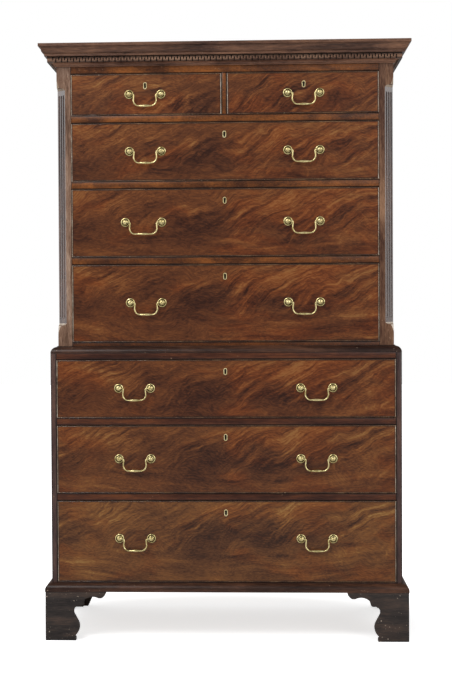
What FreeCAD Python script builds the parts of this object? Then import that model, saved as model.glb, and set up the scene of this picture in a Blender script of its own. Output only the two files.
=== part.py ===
import FreeCAD, Part
import math
import os
import re
import Sketcher

# A chest on chest in mahogany: a lower chest of three long drawers on bracket feet, and an
# upper chest of two short and three long drawers, with fluted canted corners and a cornice
# over a key-pattern dentil band.  Millimetres, Z up, the front faces -Y, and the origin lies
# on the floor under the middle of the whole piece.

DRIVING_SIZES = (
    # the whole chest and its two cases
    ("chest_height", 1830), ("upper_width", 1032), ("upper_depth", 500), ("case_step", 22),
    ("case_side", 17), ("back_board", 10), ("back_rebate", 8), ("back_board_count", 4),
    # heights of the drawer openings, let out alike where chest_height leaves more or less room
    ("lower_bottom_opening", 252.5), ("lower_middle_opening", 211), ("lower_top_opening", 181),
    ("upper_bottom_opening", 240), ("upper_middle_opening", 211), ("upper_top_opening", 180.5),
    ("short_opening", 128.5),
    # rails, dust boards and guides
    ("base_rail", 27.5), ("lower_rail", 21), ("waist_rail", 31), ("upper_rail", 22),
    ("rail_depth", 60), ("muntin", 15), ("dust_board", 9), ("end_board", 18),
    ("top_board", 16), ("frieze_board", 18), ("guide_height", 20),
    # canted corner posts
    ("post", 43), ("cant", 26), ("cant_foot", 49), ("cant_head", 30), ("tongue", 34),
    ("tongue_depth", 6), ("tongue_radius", 110), ("shoulder", 7), ("shoulder_radius", 14),
    ("flute_radius", 4), ("flute_depth", 2.6), ("flute_pitch", 10.5), ("flute_margin", 14),
    # cornice, from its foot up
    ("astragal_out", 4), ("astragal_height", 4), ("astragal_radius", 2.3),
    ("quirk", 1.5), ("hollow_out", 18), ("hollow_radius", 13), ("bed_height", 11),
    ("dentil_seat", 20), ("dentil_thick", 5), ("dentil_height", 18), ("dentil_pitch", 9.1),
    ("key_slot", 3.6), ("key_slot_length", 12),
    ("corona_out", 33), ("corona_height", 7.5), ("cyma_foot", 35), ("cyma_head", 48),
    ("cyma_height", 20.5), ("cyma_radius", 11), ("fillet_height", 9), ("cornice_out", 50),
    # waist and base mouldings
    ("waist_height", 20), ("waist_gap", 0.5), ("waist_fillet", 3.5), ("waist_lip", 2),
    ("waist_radius", 19),
    ("base_height", 25), ("base_out", 20), ("base_lip", 8), ("base_fillet", 1.5),
    ("base_radius", 19.5),
    # bracket feet: the toe and belly from the floor, the rest from the foot's top
    ("foot_height", 150), ("foot_out", 19), ("bracket", 20), ("bracket_length", 188),
    ("foot_toe", 94), ("toe_height", 9), ("toe_notch", 4.5), ("notch_height", 5),
    ("belly_out", 12), ("belly_height", 44), ("belly_radius", 34.5),
    ("foot_waist", 88), ("waist_drop", 67), ("spur_out", 11), ("spur_drop", 43.5),
    ("spur_radius", 19), ("nose_drop", 41), ("nose_reach", 4.5), ("arch_drop", 26),
    ("arch_span", 44.5), ("arch_radius", 38), ("cusp_drop", 19.8), ("cusp_width", 9),
    ("cove_reach", 15), ("cove_radius", 27.5), ("glue_block", 40), ("block_clear", 5),
    ("back_foot_toe", 52), ("back_foot_length", 120),
    # drawers
    ("drawer_gap", 1.2), ("front_thick", 19), ("bead", 3), ("bead_depth", 6), ("bead_proud", 1.5),
    ("drawer_side", 9), ("drawer_clear", 12), ("side_drop", 8), ("back_drop", 14),
    ("bottom_thick", 7), ("runner_width", 14), ("runner_height", 5),
    # locks and keyholes
    ("lock_width", 60), ("lock_height", 45), ("lock_thick", 11), ("bolt_width", 18),
    ("bolt_thick", 6), ("bolt_height", 16), ("bolt_clear", 0.3), ("mortise_clear", 1),
    ("mortise_depth", 9), ("keyhole_drop", 38), ("keyhole_width", 5), ("keyhole_height", 15),
    ("liner_width", 11), ("liner_height", 21), ("liner_proud", 0.8), ("slit_width", 4.4),
    ("slit_height", 14),
    # handles
    ("upper_handle_inset", 230), ("lower_handle_inset", 242), ("handle_rise", 2),
    ("deep_handle_rise", 9), ("short_handle_rise", 0), ("post_spread", 98),
    ("wide_post_spread", 112),
    ("rose_radius", 14), ("rose_boss", 8.5), ("rose_height", 4.5),
    ("head_radius", 6.5), ("head_length", 12), ("pivot_out", 13), ("shank", 5),
    ("shank_clear", 0.2), ("nut", 12), ("nut_thick", 4),
    ("eye", 4.5), ("eye_depth", 4.5), ("eye_clear", 0.5),
    ("wire_radius", 2), ("grip_radius", 3.5), ("grip_half", 15),
    ("neck_inset", 16), ("neck_radius", 5), ("bail_drop", 36.5), ("bow_radius", 17),
    ("bail_turn", 97),
    # how far a cutting tool runs past the face that it leaves by
    ("overcut", 1),
)

doc = FreeCAD.newDocument("chest_on_chest")
sizes = doc.addObject("Spreadsheet::Sheet", "Sizes")
for row, (alias, amount) in enumerate(DRIVING_SIZES, start=1):
    sizes.set("A%d" % row, alias)
    sizes.set("B%d" % row, str(amount))
    sizes.setAlias("B%d" % row, alias)
doc.recompute()

ALIASES = {alias for alias, amount in DRIVING_SIZES}
NODES = []
ROSE_SIDES, HEAD_SIDES, WIRE_SIDES = 8, 6, 6


# ---------------------------------------------------------------- rules: sums of named sizes

def in_sheet(rule):
    """The rule with each size's name pointing at its cell."""
    def cell(word):
        return "Sizes." + word[0] if word[0] in ALIASES else word[0]
    return re.sub(r"[a-z][a-z_]*", cell, rule)


def amount_of(rule):
    """What a rule comes to now, in millimetres."""
    return float(sizes.evalExpression(in_sheet(rule)))


def bind(thing, **rules):
    """Tie each property of a document object to its rule."""
    for name, rule in rules.items():
        thing.setExpression(name, in_sheet(rule))


def place(thing, x="0", y="0", z="0", turn=None):
    """Tie an object's place to three rules; turn is a fixed rotation, if it has one."""
    if turn:
        thing.Placement = FreeCAD.Placement(FreeCAD.Vector(), turn)
    for axis, rule in zip("xyz", (x, y, z)):
        thing.setExpression(".Placement.Base." + axis, in_sheet(rule))
    return thing


def plus(*rules):
    return "(" + " + ".join(rules) + ")"


def less(first, *rules):
    return "(" + " - ".join((first,) + rules) + ")"


def half(rule):
    return "(" + rule + " / 2)"


def neg(rule):
    return "(0 - " + rule + ")"


def about(axis, degrees):
    return FreeCAD.Rotation(FreeCAD.Vector(*axis), degrees)


X_AXIS, Y_AXIS, Z_AXIS = (1, 0, 0), (0, 1, 0), (0, 0, 1)


# ---------------------------------------------------------------- ways of making a piece

def board(name, x, y, z):
    """A squared board between a low and a high rule on each axis."""
    box = doc.addObject("Part::Box", name)
    place(box, x[0], y[0], z[0])
    bind(box, Length=less(x[1], x[0]), Width=less(y[1], y[0]), Height=less(z[1], z[0]))
    return box


def cut(name, base, tool):
    piece = doc.addObject("Part::Cut", name)
    piece.Base = base
    piece.Tool = tool
    return piece


def fuse(name, base, tool):
    piece = doc.addObject("Part::Fuse", name)
    piece.Base = base
    piece.Tool = tool
    return piece


def cluster(name, pieces):
    """Loose pieces kept together; each stays a solid of its own."""
    group = doc.addObject("Part::Compound", name)
    group.Links = pieces
    return group


def mirrored(name, piece, normal=X_AXIS):
    """The same piece on the other side of a plane through the origin."""
    copy = doc.addObject("Part::Mirroring", name)
    copy.Source = piece
    copy.Normal = FreeCAD.Vector(*normal)
    return copy


def node(name, pieces):
    """One sub-part of the chest, written to a file of its own name."""
    part = cluster(name, pieces)
    part.Label = name
    NODES.append(part)
    return part


def arc_middle(start, end, side, radius):
    """A point halfway along the arc that bulges to one side of the way from start to end."""
    chord = end - start
    across = FreeCAD.Vector(-chord.y, chord.x, 0).normalize()
    if side == "right":
        across = across.negative()
    depth = radius - max(radius ** 2 - chord.Length ** 2 / 4, 0) ** 0.5
    return (start + end) * 0.5 + across * depth


def outline(body, name, plane, *loops):
    """A sketch on one of the body's planes.  A corner is (across, up) or, where an arc starts
    at it, (across, up, side, radius); each is tied to its rules."""
    sketch = body.newObject("Sketcher::SketchObject", name)
    support = [one for one in body.Origin.OriginFeatures if one.Role == plane]
    sketch.AttachmentSupport = [(support[0], "")]
    sketch.MapMode = "FlatFace"
    for corners in loops:
        draw_loop(sketch, corners)
    return sketch


def hold_point(sketch, piece, end, corner):
    """Tie one end of a sketched line or arc to its two rules."""
    for kind, rule in zip(("DistanceX", "DistanceY"), corner[:2]):
        number = sketch.addConstraint(
            Sketcher.Constraint(kind, -1, 1, piece, end, amount_of(rule)))
        sketch.setExpression("Constraints[%d]" % number, in_sheet(rule))


def draw_loop(sketch, corners):
    """A closed loop; an arc may lead on from any corner."""
    spots = [FreeCAD.Vector(amount_of(c[0]), amount_of(c[1]), 0) for c in corners]
    ends = []
    for index, corner in enumerate(corners):
        start, end = spots[index], spots[(index + 1) % len(spots)]
        if len(corner) == 2:
            line = sketch.addGeometry(Part.LineSegment(start, end))
            ends.append((line, 1, 2))
            continue
        side, radius = corner[2:]
        middle = arc_middle(start, end, side, amount_of(radius))
        arc = sketch.addGeometry(Part.Arc(start, middle, end))
        ends.append((arc, 2, 1) if side == "left" else (arc, 1, 2))
        rule = sketch.addConstraint(Sketcher.Constraint("Radius", arc, amount_of(radius)))
        sketch.setExpression("Constraints[%d]" % rule, in_sheet(radius))
    for index, (piece, first, last) in enumerate(ends):
        after, after_first, after_last = ends[(index + 1) % len(ends)]
        sketch.addConstraint(Sketcher.Constraint("Coincident", piece, last, after, after_first))
        hold_point(sketch, piece, first, corners[index])


def rectangle(x, y):
    return [(x[0], y[0]), (x[1], y[0]), (x[1], y[1]), (x[0], y[1])]


def pad(body, sketch, length, both_ways=False, backwards=False):
    feature = body.newObject("PartDesign::Pad", sketch.Name + "_pad")
    feature.Profile = sketch
    feature.Midplane = both_ways
    feature.Reversed = backwards
    bind(feature, Length=length)
    return feature


def pocket(body, sketch, length=None):
    """A cut both ways from the sketch: this long in all, or right through the body."""
    feature = body.newObject("PartDesign::Pocket", sketch.Name + "_pocket")
    feature.Profile = sketch
    feature.Midplane = True
    if length:
        bind(feature, Length=length)
    else:
        feature.Type = "ThroughAll"
    return feature


# ---------------------------------------------------------------- where things stand

BACK = half(plus("upper_depth", "cornice_out"))
UPPER_FACE = less(BACK, "upper_depth")
LOWER_FACE = less(UPPER_FACE, "case_step")
UPPER_HALF = half("upper_width")
LOWER_HALF = plus(UPPER_HALF, "case_step")
UPPER_BAY = less(UPPER_HALF, "post")
LOWER_BAY = less(LOWER_HALF, "case_side")

LOWER_ROWS = ("lower_bottom", "lower_middle", "lower_top")
UPPER_ROWS = ("upper_bottom", "upper_middle", "upper_top", "short")

CORNICE_HEIGHT = plus("bed_height", "dentil_height", "corona_height", "cyma_height",
                      "fillet_height")
CORNICE_FOOT = less("chest_height", CORNICE_HEIGHT)
CASE_TOP = less("chest_height", "top_board")
RAILS = plus("base_rail", "%d * lower_rail" % len(LOWER_ROWS), "waist_rail",
             "%d * upper_rail" % len(UPPER_ROWS))
OPENINGS = plus(*[row + "_opening" for row in LOWER_ROWS + UPPER_ROWS])
LET_OUT = "(%s / %s)" % (less(CORNICE_FOOT, "foot_height", RAILS), OPENINGS)

FLOORS = {}


def head_of(row):
    """The underside of the rail over a row of drawers."""
    return plus(FLOORS[row], row + "_opening * " + LET_OUT)


def stack_rows(level, rows, rail_size):
    """Stack the drawer openings of one case; the surface that each row runs on goes to FLOORS."""
    for row in rows:
        FLOORS[row] = level
        level = plus(head_of(row), rail_size)
    return level


LOWER_TOP = stack_rows(plus("foot_height", "base_rail"), LOWER_ROWS, "lower_rail")
stack_rows(plus(LOWER_TOP, "waist_rail"), UPPER_ROWS, "upper_rail")

UPPER_HANDLE = less(UPPER_BAY, "upper_handle_inset")
LOWER_HANDLE = less(LOWER_BAY, "lower_handle_inset")


# ---------------------------------------------------------------- case boards

def case_sides(name, face, half_width, foot, head):
    """Two solid sides, rebated at the back for the back boards."""
    slab = board(name + "_slab", (less(half_width, "case_side"), half_width),
                 (face, BACK), (foot, head))
    inside = less(half_width, "case_side")
    rebate = board(name + "_rebate", (less(inside, "overcut"), plus(inside, "back_rebate")),
                   (less(BACK, "back_board"), plus(BACK, "overcut")),
                   (less(foot, "overcut"), plus(head, "overcut")))
    right = cut(name + "_right", slab, rebate)
    return node(name, [right, mirrored(name + "_left", right)])


def back_boards(name, half_width, foot, head):
    """Upright boards, edge to edge, nailed into the rebates of the sides."""
    reach = plus(less(half_width, "case_side"), "back_rebate")
    width = "(2 * " + reach + " / back_board_count)"
    boards = []
    for index in range(int(amount_of("back_board_count"))):
        left = plus(neg(reach), "%d * %s" % (index, width))
        boards.append(board("%s_%d" % (name, index + 1), (left, plus(left, width)),
                            (less(BACK, "back_board"), BACK), (foot, head)))
    return node(name, boards)


def bolt_mortise(rail, face, middle):
    """The rail with a socket in its underside, where a drawer lock's bolt shoots."""
    reach = plus(half("bolt_width"), "mortise_clear")
    centre = plus(face, "front_thick", half("lock_thick"))
    depth = plus(half("bolt_thick"), "mortise_clear")
    foot = ".Placement.Base.z"
    tool = doc.addObject("Part::Box", rail.Name + "_mortise")
    place(tool, less(middle, reach), less(centre, depth))
    tool.setExpression(foot, rail.Name + foot + " - Sizes.overcut * 1 mm")
    bind(tool, Length="2 * " + reach, Width="2 * " + depth,
         Height=plus("mortise_depth", "overcut"))
    return cut(rail.Name + "_cut", rail, tool)


def rail(name, face, half_width, foot, height):
    return board(name, (neg(half_width), half_width), (face, plus(face, "rail_depth")),
                 (foot, plus(foot, height)))


def dust_board(name, half_width, face, head, thick="dust_board"):
    """A thin board behind a rail, flush with its top, on which the drawer runs."""
    return board(name, (neg(half_width), half_width),
                 (plus(face, "rail_depth"), less(BACK, "back_board")),
                 (less(head, thick), head))


def lower_case():
    case_sides("lower_sides", LOWER_FACE, LOWER_HALF, "foot_height", LOWER_TOP)
    back_boards("lower_back", LOWER_HALF, "foot_height", LOWER_TOP)
    rails = [rail("base_front_rail", LOWER_FACE, LOWER_BAY, "foot_height", "base_rail")]
    boards = [dust_board("lower_bottom_board", LOWER_BAY, LOWER_FACE, FLOORS["lower_bottom"],
                         "end_board")]
    for row in LOWER_ROWS:
        over = rail("rail_over_" + row, LOWER_FACE, LOWER_BAY, head_of(row), "lower_rail")
        rails.append(bolt_mortise(over, LOWER_FACE, "0"))
        top = plus(head_of(row), "lower_rail")
        boards.append(dust_board("dust_board_over_" + row, LOWER_BAY, LOWER_FACE, top))
    node("lower_rails", rails)
    node("lower_dust_boards", boards)


def side_guides(row):
    """Strips on the dust board that keep a drawer straight behind the corner posts."""
    wall = less(UPPER_HALF, "case_side")
    strip = board("guide_" + row, (UPPER_BAY, wall),
                  (plus(UPPER_FACE, "rail_depth"), less(BACK, "back_board")),
                  (FLOORS[row], plus(FLOORS[row], "guide_height")))
    return [strip, mirrored("left_guide_" + row, strip)]


def upper_case():
    inside = less(UPPER_HALF, "case_side")
    case_sides("upper_sides", plus(UPPER_FACE, "post"), UPPER_HALF, LOWER_TOP, CASE_TOP)
    back_boards("upper_back", UPPER_HALF, LOWER_TOP, CASE_TOP)
    rails = [rail("waist_front_rail", UPPER_FACE, UPPER_BAY, LOWER_TOP, "waist_rail")]
    boards = [dust_board("upper_bottom_board", inside, UPPER_FACE, FLOORS["upper_bottom"],
                         "end_board")]
    for row in UPPER_ROWS:
        over = rail("rail_over_" + row, UPPER_FACE, UPPER_BAY, head_of(row), "upper_rail")
        if row == "short":
            over = bolt_mortise(over, UPPER_FACE, UPPER_HANDLE)
            over = bolt_mortise_again(over)
        else:
            over = bolt_mortise(over, UPPER_FACE, "0")
            top = plus(head_of(row), "upper_rail")
            boards.append(dust_board("dust_board_over_" + row, inside, UPPER_FACE, top))
        rails.append(over)
        boards += side_guides(row)
    rails.append(board("muntin_between_short_drawers", (neg(half("muntin")), half("muntin")),
                       (UPPER_FACE, plus(UPPER_FACE, "rail_depth")),
                       (FLOORS["short"], head_of("short"))))
    rails.append(board("frieze_board_of_case", (neg(UPPER_BAY), UPPER_BAY),
                       (UPPER_FACE, plus(UPPER_FACE, "frieze_board")),
                       (CORNICE_FOOT, CASE_TOP)))
    boards.append(board("middle_guide", (neg(half("muntin")), half("muntin")),
                        (plus(UPPER_FACE, "rail_depth"), less(BACK, "back_board")),
                        (FLOORS["short"], plus(FLOORS["short"], "guide_height"))))
    boards.append(board("upper_top_board", (neg(UPPER_HALF), UPPER_HALF), (UPPER_FACE, BACK),
                        (CASE_TOP, "chest_height")))
    node("upper_rails", rails)
    node("upper_dust_boards", boards)


def bolt_mortise_again(right_cut):
    """The matching socket on the left of the rail over the two short drawers."""
    socket = mirrored("left_short_mortise", right_cut.Tool)
    return cut("rail_over_short_both", right_cut, socket)


# ---------------------------------------------------------------- canted corner posts

def canted_corners():
    """Corner posts, each with a cant that ends in lamb's tongues and carries three flutes.

    The post is drawn with its outer edge on the local Z axis and the cant facing +X."""
    body = doc.addObject("PartDesign::Body", "right_post")
    reach = "(post / sqrt(2))"
    depth = "(cant / sqrt(2))"
    square = outline(body, "post_square", "XY_Plane",
                     [("0", "0"), (neg(reach), reach), (neg("2 * " + reach), "0"),
                      (neg(reach), neg(reach))])
    pad(body, square, less(CASE_TOP, LOWER_TOP))

    low = "cant_foot"
    high = less(CORNICE_FOOT, LOWER_TOP, "cant_head")
    low_tongue = plus(low, "tongue")
    high_tongue = less(high, "tongue")
    cant = outline(body, "cant_profile", "XZ_Plane",
                   [("0", low, "right", "tongue_radius"),
                    (neg("tongue_depth"), low_tongue, "left", "shoulder_radius"),
                    (neg(depth), plus(low_tongue, "shoulder")),
                    (neg(depth), less(high_tongue, "shoulder"), "left", "shoulder_radius"),
                    (neg("tongue_depth"), high_tongue, "right", "tongue_radius"),
                    ("0", high), ("overcut", high), ("overcut", low)])
    pocket(body, cant)

    foot = plus(low_tongue, "shoulder", "flute_margin")
    head = less(high_tongue, "shoulder", "flute_margin")
    reach = "sqrt(flute_radius ^ 2 - (flute_radius - flute_depth) ^ 2)"
    loops = []
    for middle in (neg("flute_pitch"), "0", "flute_pitch"):
        one, other = less(middle, reach), plus(middle, reach)
        loops.append([(neg(depth), other, "right", "flute_radius"), (neg(depth), one),
                      ("0", one), ("0", other)])
    flutes = outline(body, "flutes", "XY_Plane", *loops)
    flutes.setExpression(".AttachmentOffset.Base.z", in_sheet(half(plus(foot, head))))
    pocket(body, flutes, less(head, foot))
    place(body, UPPER_HALF, UPPER_FACE, LOWER_TOP, about(Z_AXIS, -45))
    node("canted_corners", [body, mirrored("left_post", body)])


# ---------------------------------------------------------------- mouldings

def flipped(corners):
    """The same corners seen from the other side, with each arc bulging the other way."""
    other = {"left": "right", "right": "left"}
    return [(neg(c[0]), c[1]) + ((other[c[2]], c[3]) if len(c) > 2 else ()) for c in corners]


def moulding_runs(name, profile, reach, root, half_width, face, foot):
    """Mitred lengths of one profile along the front and the right side of a case.

    Profile corners are (out from the case, up); reach is how far out it goes, and root how far
    behind the face it starts.  Gives the front body and the side body."""
    inner, outer = less(half_width, root), plus(half_width, reach)
    front = doc.addObject("PartDesign::Body", name + "_front")
    section = outline(front, name + "_front_section", "YZ_Plane", flipped(profile))
    pad(front, section, "2 * " + outer, both_ways=True)
    right_end = [(inner, root), (outer, neg(reach)), (outer, root)]
    left_end = [(neg(across), deep) for across, deep in right_end]
    mitres = outline(front, name + "_front_mitres", "XY_Plane", right_end, left_end)
    pocket(front, mitres)
    place(front, "0", face, foot)

    depth = less(BACK, face)
    side = doc.addObject("PartDesign::Body", name + "_side")
    section = outline(side, name + "_side_section", "XZ_Plane", profile)
    pad(side, section, plus(depth, reach))
    inner_end, outer_end = neg(less(depth, root)), neg(plus(depth, reach))
    mitre = outline(side, name + "_side_mitre", "XY_Plane",
                    [(neg(root), inner_end), (reach, outer_end), (neg(root), outer_end)])
    pocket(side, mitre)
    place(side, half_width, BACK, foot)
    return front, side


def three_sided(name, front, side):
    return node(name, [front, side, mirrored(name + "_left", side)])


def waist_moulding():
    """A quarter round that stands on the lower case and holds the upper case in its place."""
    root = less("case_step", "waist_gap")
    crown = plus(neg(root), "waist_fillet")
    profile = [(neg(root), "0"), ("0", "0"), ("0", "waist_lip", "right", "waist_radius"),
               (crown, less("waist_height", "waist_lip")), (crown, "waist_height"),
               (neg(root), "waist_height")]
    front, side = moulding_runs("waist_moulding", profile, "0", root, LOWER_HALF, LOWER_FACE,
                                LOWER_TOP)
    three_sided("waist_moulding", front, side)


def base_moulding():
    """An ovolo planted round the foot of the lower case, over the brackets."""
    profile = [("0", "0"), ("base_out", "0"), ("base_out", "base_lip", "right", "base_radius"),
               ("base_fillet", "base_height"), ("0", "base_height")]
    front, side = moulding_runs("base_moulding", profile, "base_out", "0", LOWER_HALF,
                                LOWER_FACE, "foot_height")
    three_sided("base_moulding", front, side)


def cornice():
    """Astragal and hollow, the seat of the dentil band, corona, cyma recta and top fillet."""
    band_foot = "bed_height"
    band_head = plus(band_foot, "dentil_height")
    cyma_low = plus(band_head, "corona_height")
    cyma_high = plus(cyma_low, "cyma_height")
    cyma_middle = half(plus("cyma_foot", "cyma_head"))
    profile = [("0", "0"),
               ("astragal_out", "0", "right", "astragal_radius"),
               ("astragal_out", "astragal_height"),
               (plus("astragal_out", "quirk"), "astragal_height", "left", "hollow_radius"),
               ("hollow_out", band_foot), ("dentil_seat", band_foot),
               ("dentil_seat", band_head), ("corona_out", band_head),
               ("corona_out", cyma_low),
               ("cyma_foot", cyma_low, "right", "cyma_radius"),
               (cyma_middle, half(plus(cyma_low, cyma_high)), "left", "cyma_radius"),
               ("cyma_head", cyma_high), ("cornice_out", cyma_high),
               ("cornice_out", CORNICE_HEIGHT), ("0", CORNICE_HEIGHT)]
    front, side = moulding_runs("cornice", profile, "cornice_out", "0", UPPER_HALF, UPPER_FACE,
                                CORNICE_FOOT)
    three_sided("cornice", front, side)


def cut_keys(body, name, plane, direction, run, start):
    """Slots from the top and from the bottom of a band in turn, which leave a key pattern."""
    band_head = plus("bed_height", "dentil_height")
    pair = "(2 * dentil_pitch)"
    count = "floor(" + run + " / " + pair + ")"
    first = plus(start, half(less(run, count + " * " + pair)),
                 half(less("dentil_pitch", "key_slot")))
    second = plus(first, "dentil_pitch")
    from_top = (less(band_head, "key_slot_length"), plus(band_head, "overcut"))
    from_foot = (less("bed_height", "overcut"), plus("bed_height", "key_slot_length"))
    slots = outline(body, name + "_slots", plane,
                    rectangle((first, plus(first, "key_slot")), from_top),
                    rectangle((second, plus(second, "key_slot")), from_foot))
    pair_cut = pocket(body, slots)
    doc.recompute()
    keys = body.newObject("PartDesign::LinearPattern", name + "_keys")
    keys.Originals = [pair_cut]
    keys.Direction = (slots, [direction])
    bind(keys, Length="(" + count + " - 1) * " + pair, Occurrences=count)
    body.Tip = keys


def key_dentil_band():
    """The band of pierced strip that lies on the cornice's seat, mitred at the corners."""
    reach = plus("dentil_seat", "dentil_thick")
    band_head = plus("bed_height", "dentil_height")
    profile = [("dentil_seat", "bed_height"), (reach, "bed_height"), (reach, band_head),
               ("dentil_seat", band_head)]
    front, side = moulding_runs("dentil_band", profile, reach, "0", UPPER_HALF, UPPER_FACE,
                                CORNICE_FOOT)
    outer = plus(UPPER_HALF, "dentil_seat")
    cut_keys(front, "front", "XZ_Plane", "H_Axis", "(2 * " + outer + ")", neg(outer))
    run = plus("upper_depth", "dentil_seat")
    cut_keys(side, "side", "YZ_Plane", "H_Axis", run, neg(run))
    three_sided("key_dentil_band", front, side)


# ---------------------------------------------------------------- bracket feet

def bracket_outline():
    """A bracket seen from outside, from its corner inwards: toe, belly, waist, spur, nose,
    a shallow arch, its cusp and the cove that runs out under the base moulding."""
    notch = (less("foot_toe", "toe_notch"), plus("toe_height", "notch_height"))
    cove_start = less("bracket_length", "cove_reach")
    arch_end = less(cove_start, "cusp_width")
    arch_start = less(arch_end, "arch_span")
    cusp_rise = less("foot_height", "cusp_drop")
    return [("0", "0"), ("foot_toe", "0"), ("foot_toe", "toe_height"),
            notch + ("right", "belly_radius"),
            (plus(notch[0], "belly_out"), plus(notch[1], "belly_height")),
            ("foot_waist", less("foot_height", "waist_drop"), "left", "spur_radius"),
            (plus("foot_waist", "spur_out"), less("foot_height", "spur_drop")),
            (less(arch_start, "nose_reach"), less("foot_height", "nose_drop")),
            (arch_start, less("foot_height", "arch_drop"), "left", "arch_radius"),
            (arch_end, cusp_rise), (cove_start, cusp_rise, "right", "cove_radius"),
            ("bracket_length", "foot_height"), ("0", "foot_height")]


def shaped_bracket(name, with_mitre):
    body = doc.addObject("PartDesign::Body", name)
    face = outline(body, name + "_face", "XZ_Plane", bracket_outline())
    pad(body, face, "bracket", backwards=True)
    if with_mitre:
        mitre = outline(body, name + "_mitre", "XY_Plane",
                        [("0", "0"), ("bracket", "bracket"), ("0", "bracket")])
        pocket(body, mitre)
    return body


def glue_block(name, x, y):
    return board(name, (x, plus(x, "glue_block")), (y, plus(y, "glue_block")),
                 ("block_clear", "foot_height"))


def bracket_feet():
    """Front feet of two mitred brackets, back feet of a shaped and a plain one."""
    corner_x, corner_y = neg(plus(LOWER_HALF, "foot_out")), less(LOWER_FACE, "foot_out")
    front_face = shaped_bracket("front_bracket", True)
    front_side = mirrored("front_side_bracket", front_face, (1, -1, 0))
    block = glue_block("front_block", "bracket", "bracket")
    front_foot = cluster("front_foot", [front_face, front_side, block])
    place(front_foot, corner_x, corner_y)

    back_side = shaped_bracket("back_side_bracket", False)
    place(back_side, corner_x, BACK, "0", about(Z_AXIS, -90))
    inside_x = plus(corner_x, "bracket")
    plain = doc.addObject("PartDesign::Body", "plain_back_bracket")
    face = outline(plain, "plain_back_face", "XZ_Plane",
                   [("0", "0"), ("back_foot_toe", "0"), ("back_foot_length", "foot_height"),
                    ("0", "foot_height")])
    pad(plain, face, "bracket")
    place(plain, inside_x, BACK)
    block = glue_block("back_block", inside_x, less(BACK, "bracket", "glue_block"))
    back_foot = cluster("back_foot", [back_side, plain, block])
    node("bracket_feet", [front_foot, mirrored("front_right_foot", front_foot),
                          back_foot, mirrored("back_right_foot", back_foot)])


# ---------------------------------------------------------------- handles

def ring(centre, sides, radius, across, up):
    """The corners of a many-sided section with a flat towards its first direction."""
    corners = []
    for index in range(sides):
        turn = (2 * index + 1) * math.pi / sides
        corners.append(centre + across * (radius * math.cos(turn)) + up * (radius * math.sin(turn)))
    return corners


def flat_sided(name, rings):
    """A solid with flat faces through sections that have the same number of corners."""
    faces = [Part.Face(Part.makePolygon(end + end[:1])) for end in (rings[0], rings[-1])]
    for near, far in zip(rings, rings[1:]):
        for index in range(len(near)):
            after = (index + 1) % len(near)
            corners = [near[index], near[after], far[after], far[index], near[index]]
            faces.append(Part.Face(Part.makePolygon(corners)))
    solid = Part.Solid(Part.Shell(faces))
    if solid.Volume < 0:
        solid.reverse()
    piece = doc.addObject("Part::Feature", name)
    piece.Shape = solid
    return piece


def eye_edge(spread):
    """The side of a post's head that faces the other post, out from midway between them."""
    return "(%s / 2 - head_radius * cos(180 / %d))" % (spread, HEAD_SIDES)


def rose(centre, reach):
    """A plate under the post, dished up from its edge, with a square hole for the shank."""
    across, up = FreeCAD.Vector(*X_AXIS), FreeCAD.Vector(*Z_AXIS)
    rings = []
    for radius, out in (("rose_radius", "0"), ("rose_boss", "rose_height")):
        middle = FreeCAD.Vector(amount_of(centre), -amount_of(out), 0)
        rings.append(ring(middle, ROSE_SIDES, amount_of(radius), across, up))
    hole = board("rose_hole", (less(centre, reach), plus(centre, reach)),
                 (neg(plus("rose_height", "overcut")), "overcut"), (neg(reach), reach))
    return cut("rose", flat_sided("rose_plate", rings), hole)


def post(spread):
    """A turned head with an eye in its inner side, and a square shank through the front."""
    centre = half(spread)
    head = doc.addObject("Part::Prism", "post_head")
    head.Polygon = HEAD_SIDES
    bind(head, Circumradius="head_radius", Height="head_length")
    place(head, centre, neg("rose_height"), "0",
          about(X_AXIS, 90).multiply(about(Z_AXIS, 180 / HEAD_SIDES)))
    flat = half("shank")
    shank = board("shank_bar", (less(centre, flat), plus(centre, flat)),
                  (neg(plus("rose_height", "shank")), "front_thick"), (neg(flat), flat))
    eye = half("eye")
    socket = board("eye_socket",
                   (less(centre, "head_radius"), plus(eye_edge(spread), "eye_depth")),
                   (less(neg("pivot_out"), eye), plus(neg("pivot_out"), eye)), (neg(eye), eye))
    return cut("post", fuse("post_blank", head, shank), socket)


def handle_fittings(spread):
    """Both ends of a handle on the drawer's face: rose, post with its eye, and nut behind.

    The origin is on the face, midway between the posts, and the front is -Y."""
    centre = half(spread)
    nut = board("nut", (less(centre, half("nut")), plus(centre, half("nut"))),
                ("front_thick", plus("front_thick", "nut_thick")),
                (neg(half("nut")), half("nut")))
    right = cluster("right_fittings",
                    [rose(centre, plus(half("shank"), "shank_clear")), post(spread), nut])
    return cluster("fittings", [right, mirrored("left_fittings", right)])


def bail_corners(spread):
    """Half of the bail's centre line, from its pin to the bottom of its bow."""
    neck = less(half(spread), "neck_inset")
    neck_x = "(%s + neck_radius * tan(bail_turn / 2))" % neck
    bow_x = ("(%s + bail_drop * tan(bail_turn - 90) - bow_radius * tan(bail_turn / 2))"
             % neck)
    corners = [(less(plus(eye_edge(spread), "eye_depth"), "eye_clear"), "0"), (neck_x, "0"),
               (neck_x + " - neck_radius * sin(bail_turn)", "neck_radius * (cos(bail_turn) - 1)")]
    for share in ("bail_turn", "(bail_turn / 2)"):
        corners.append(("%s + bow_radius * sin(%s)" % (bow_x, share),
                        "bow_radius * (1 - cos(%s)) - bail_drop" % share))
    corners.append((bow_x, "0 - bail_drop"))
    return corners


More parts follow.
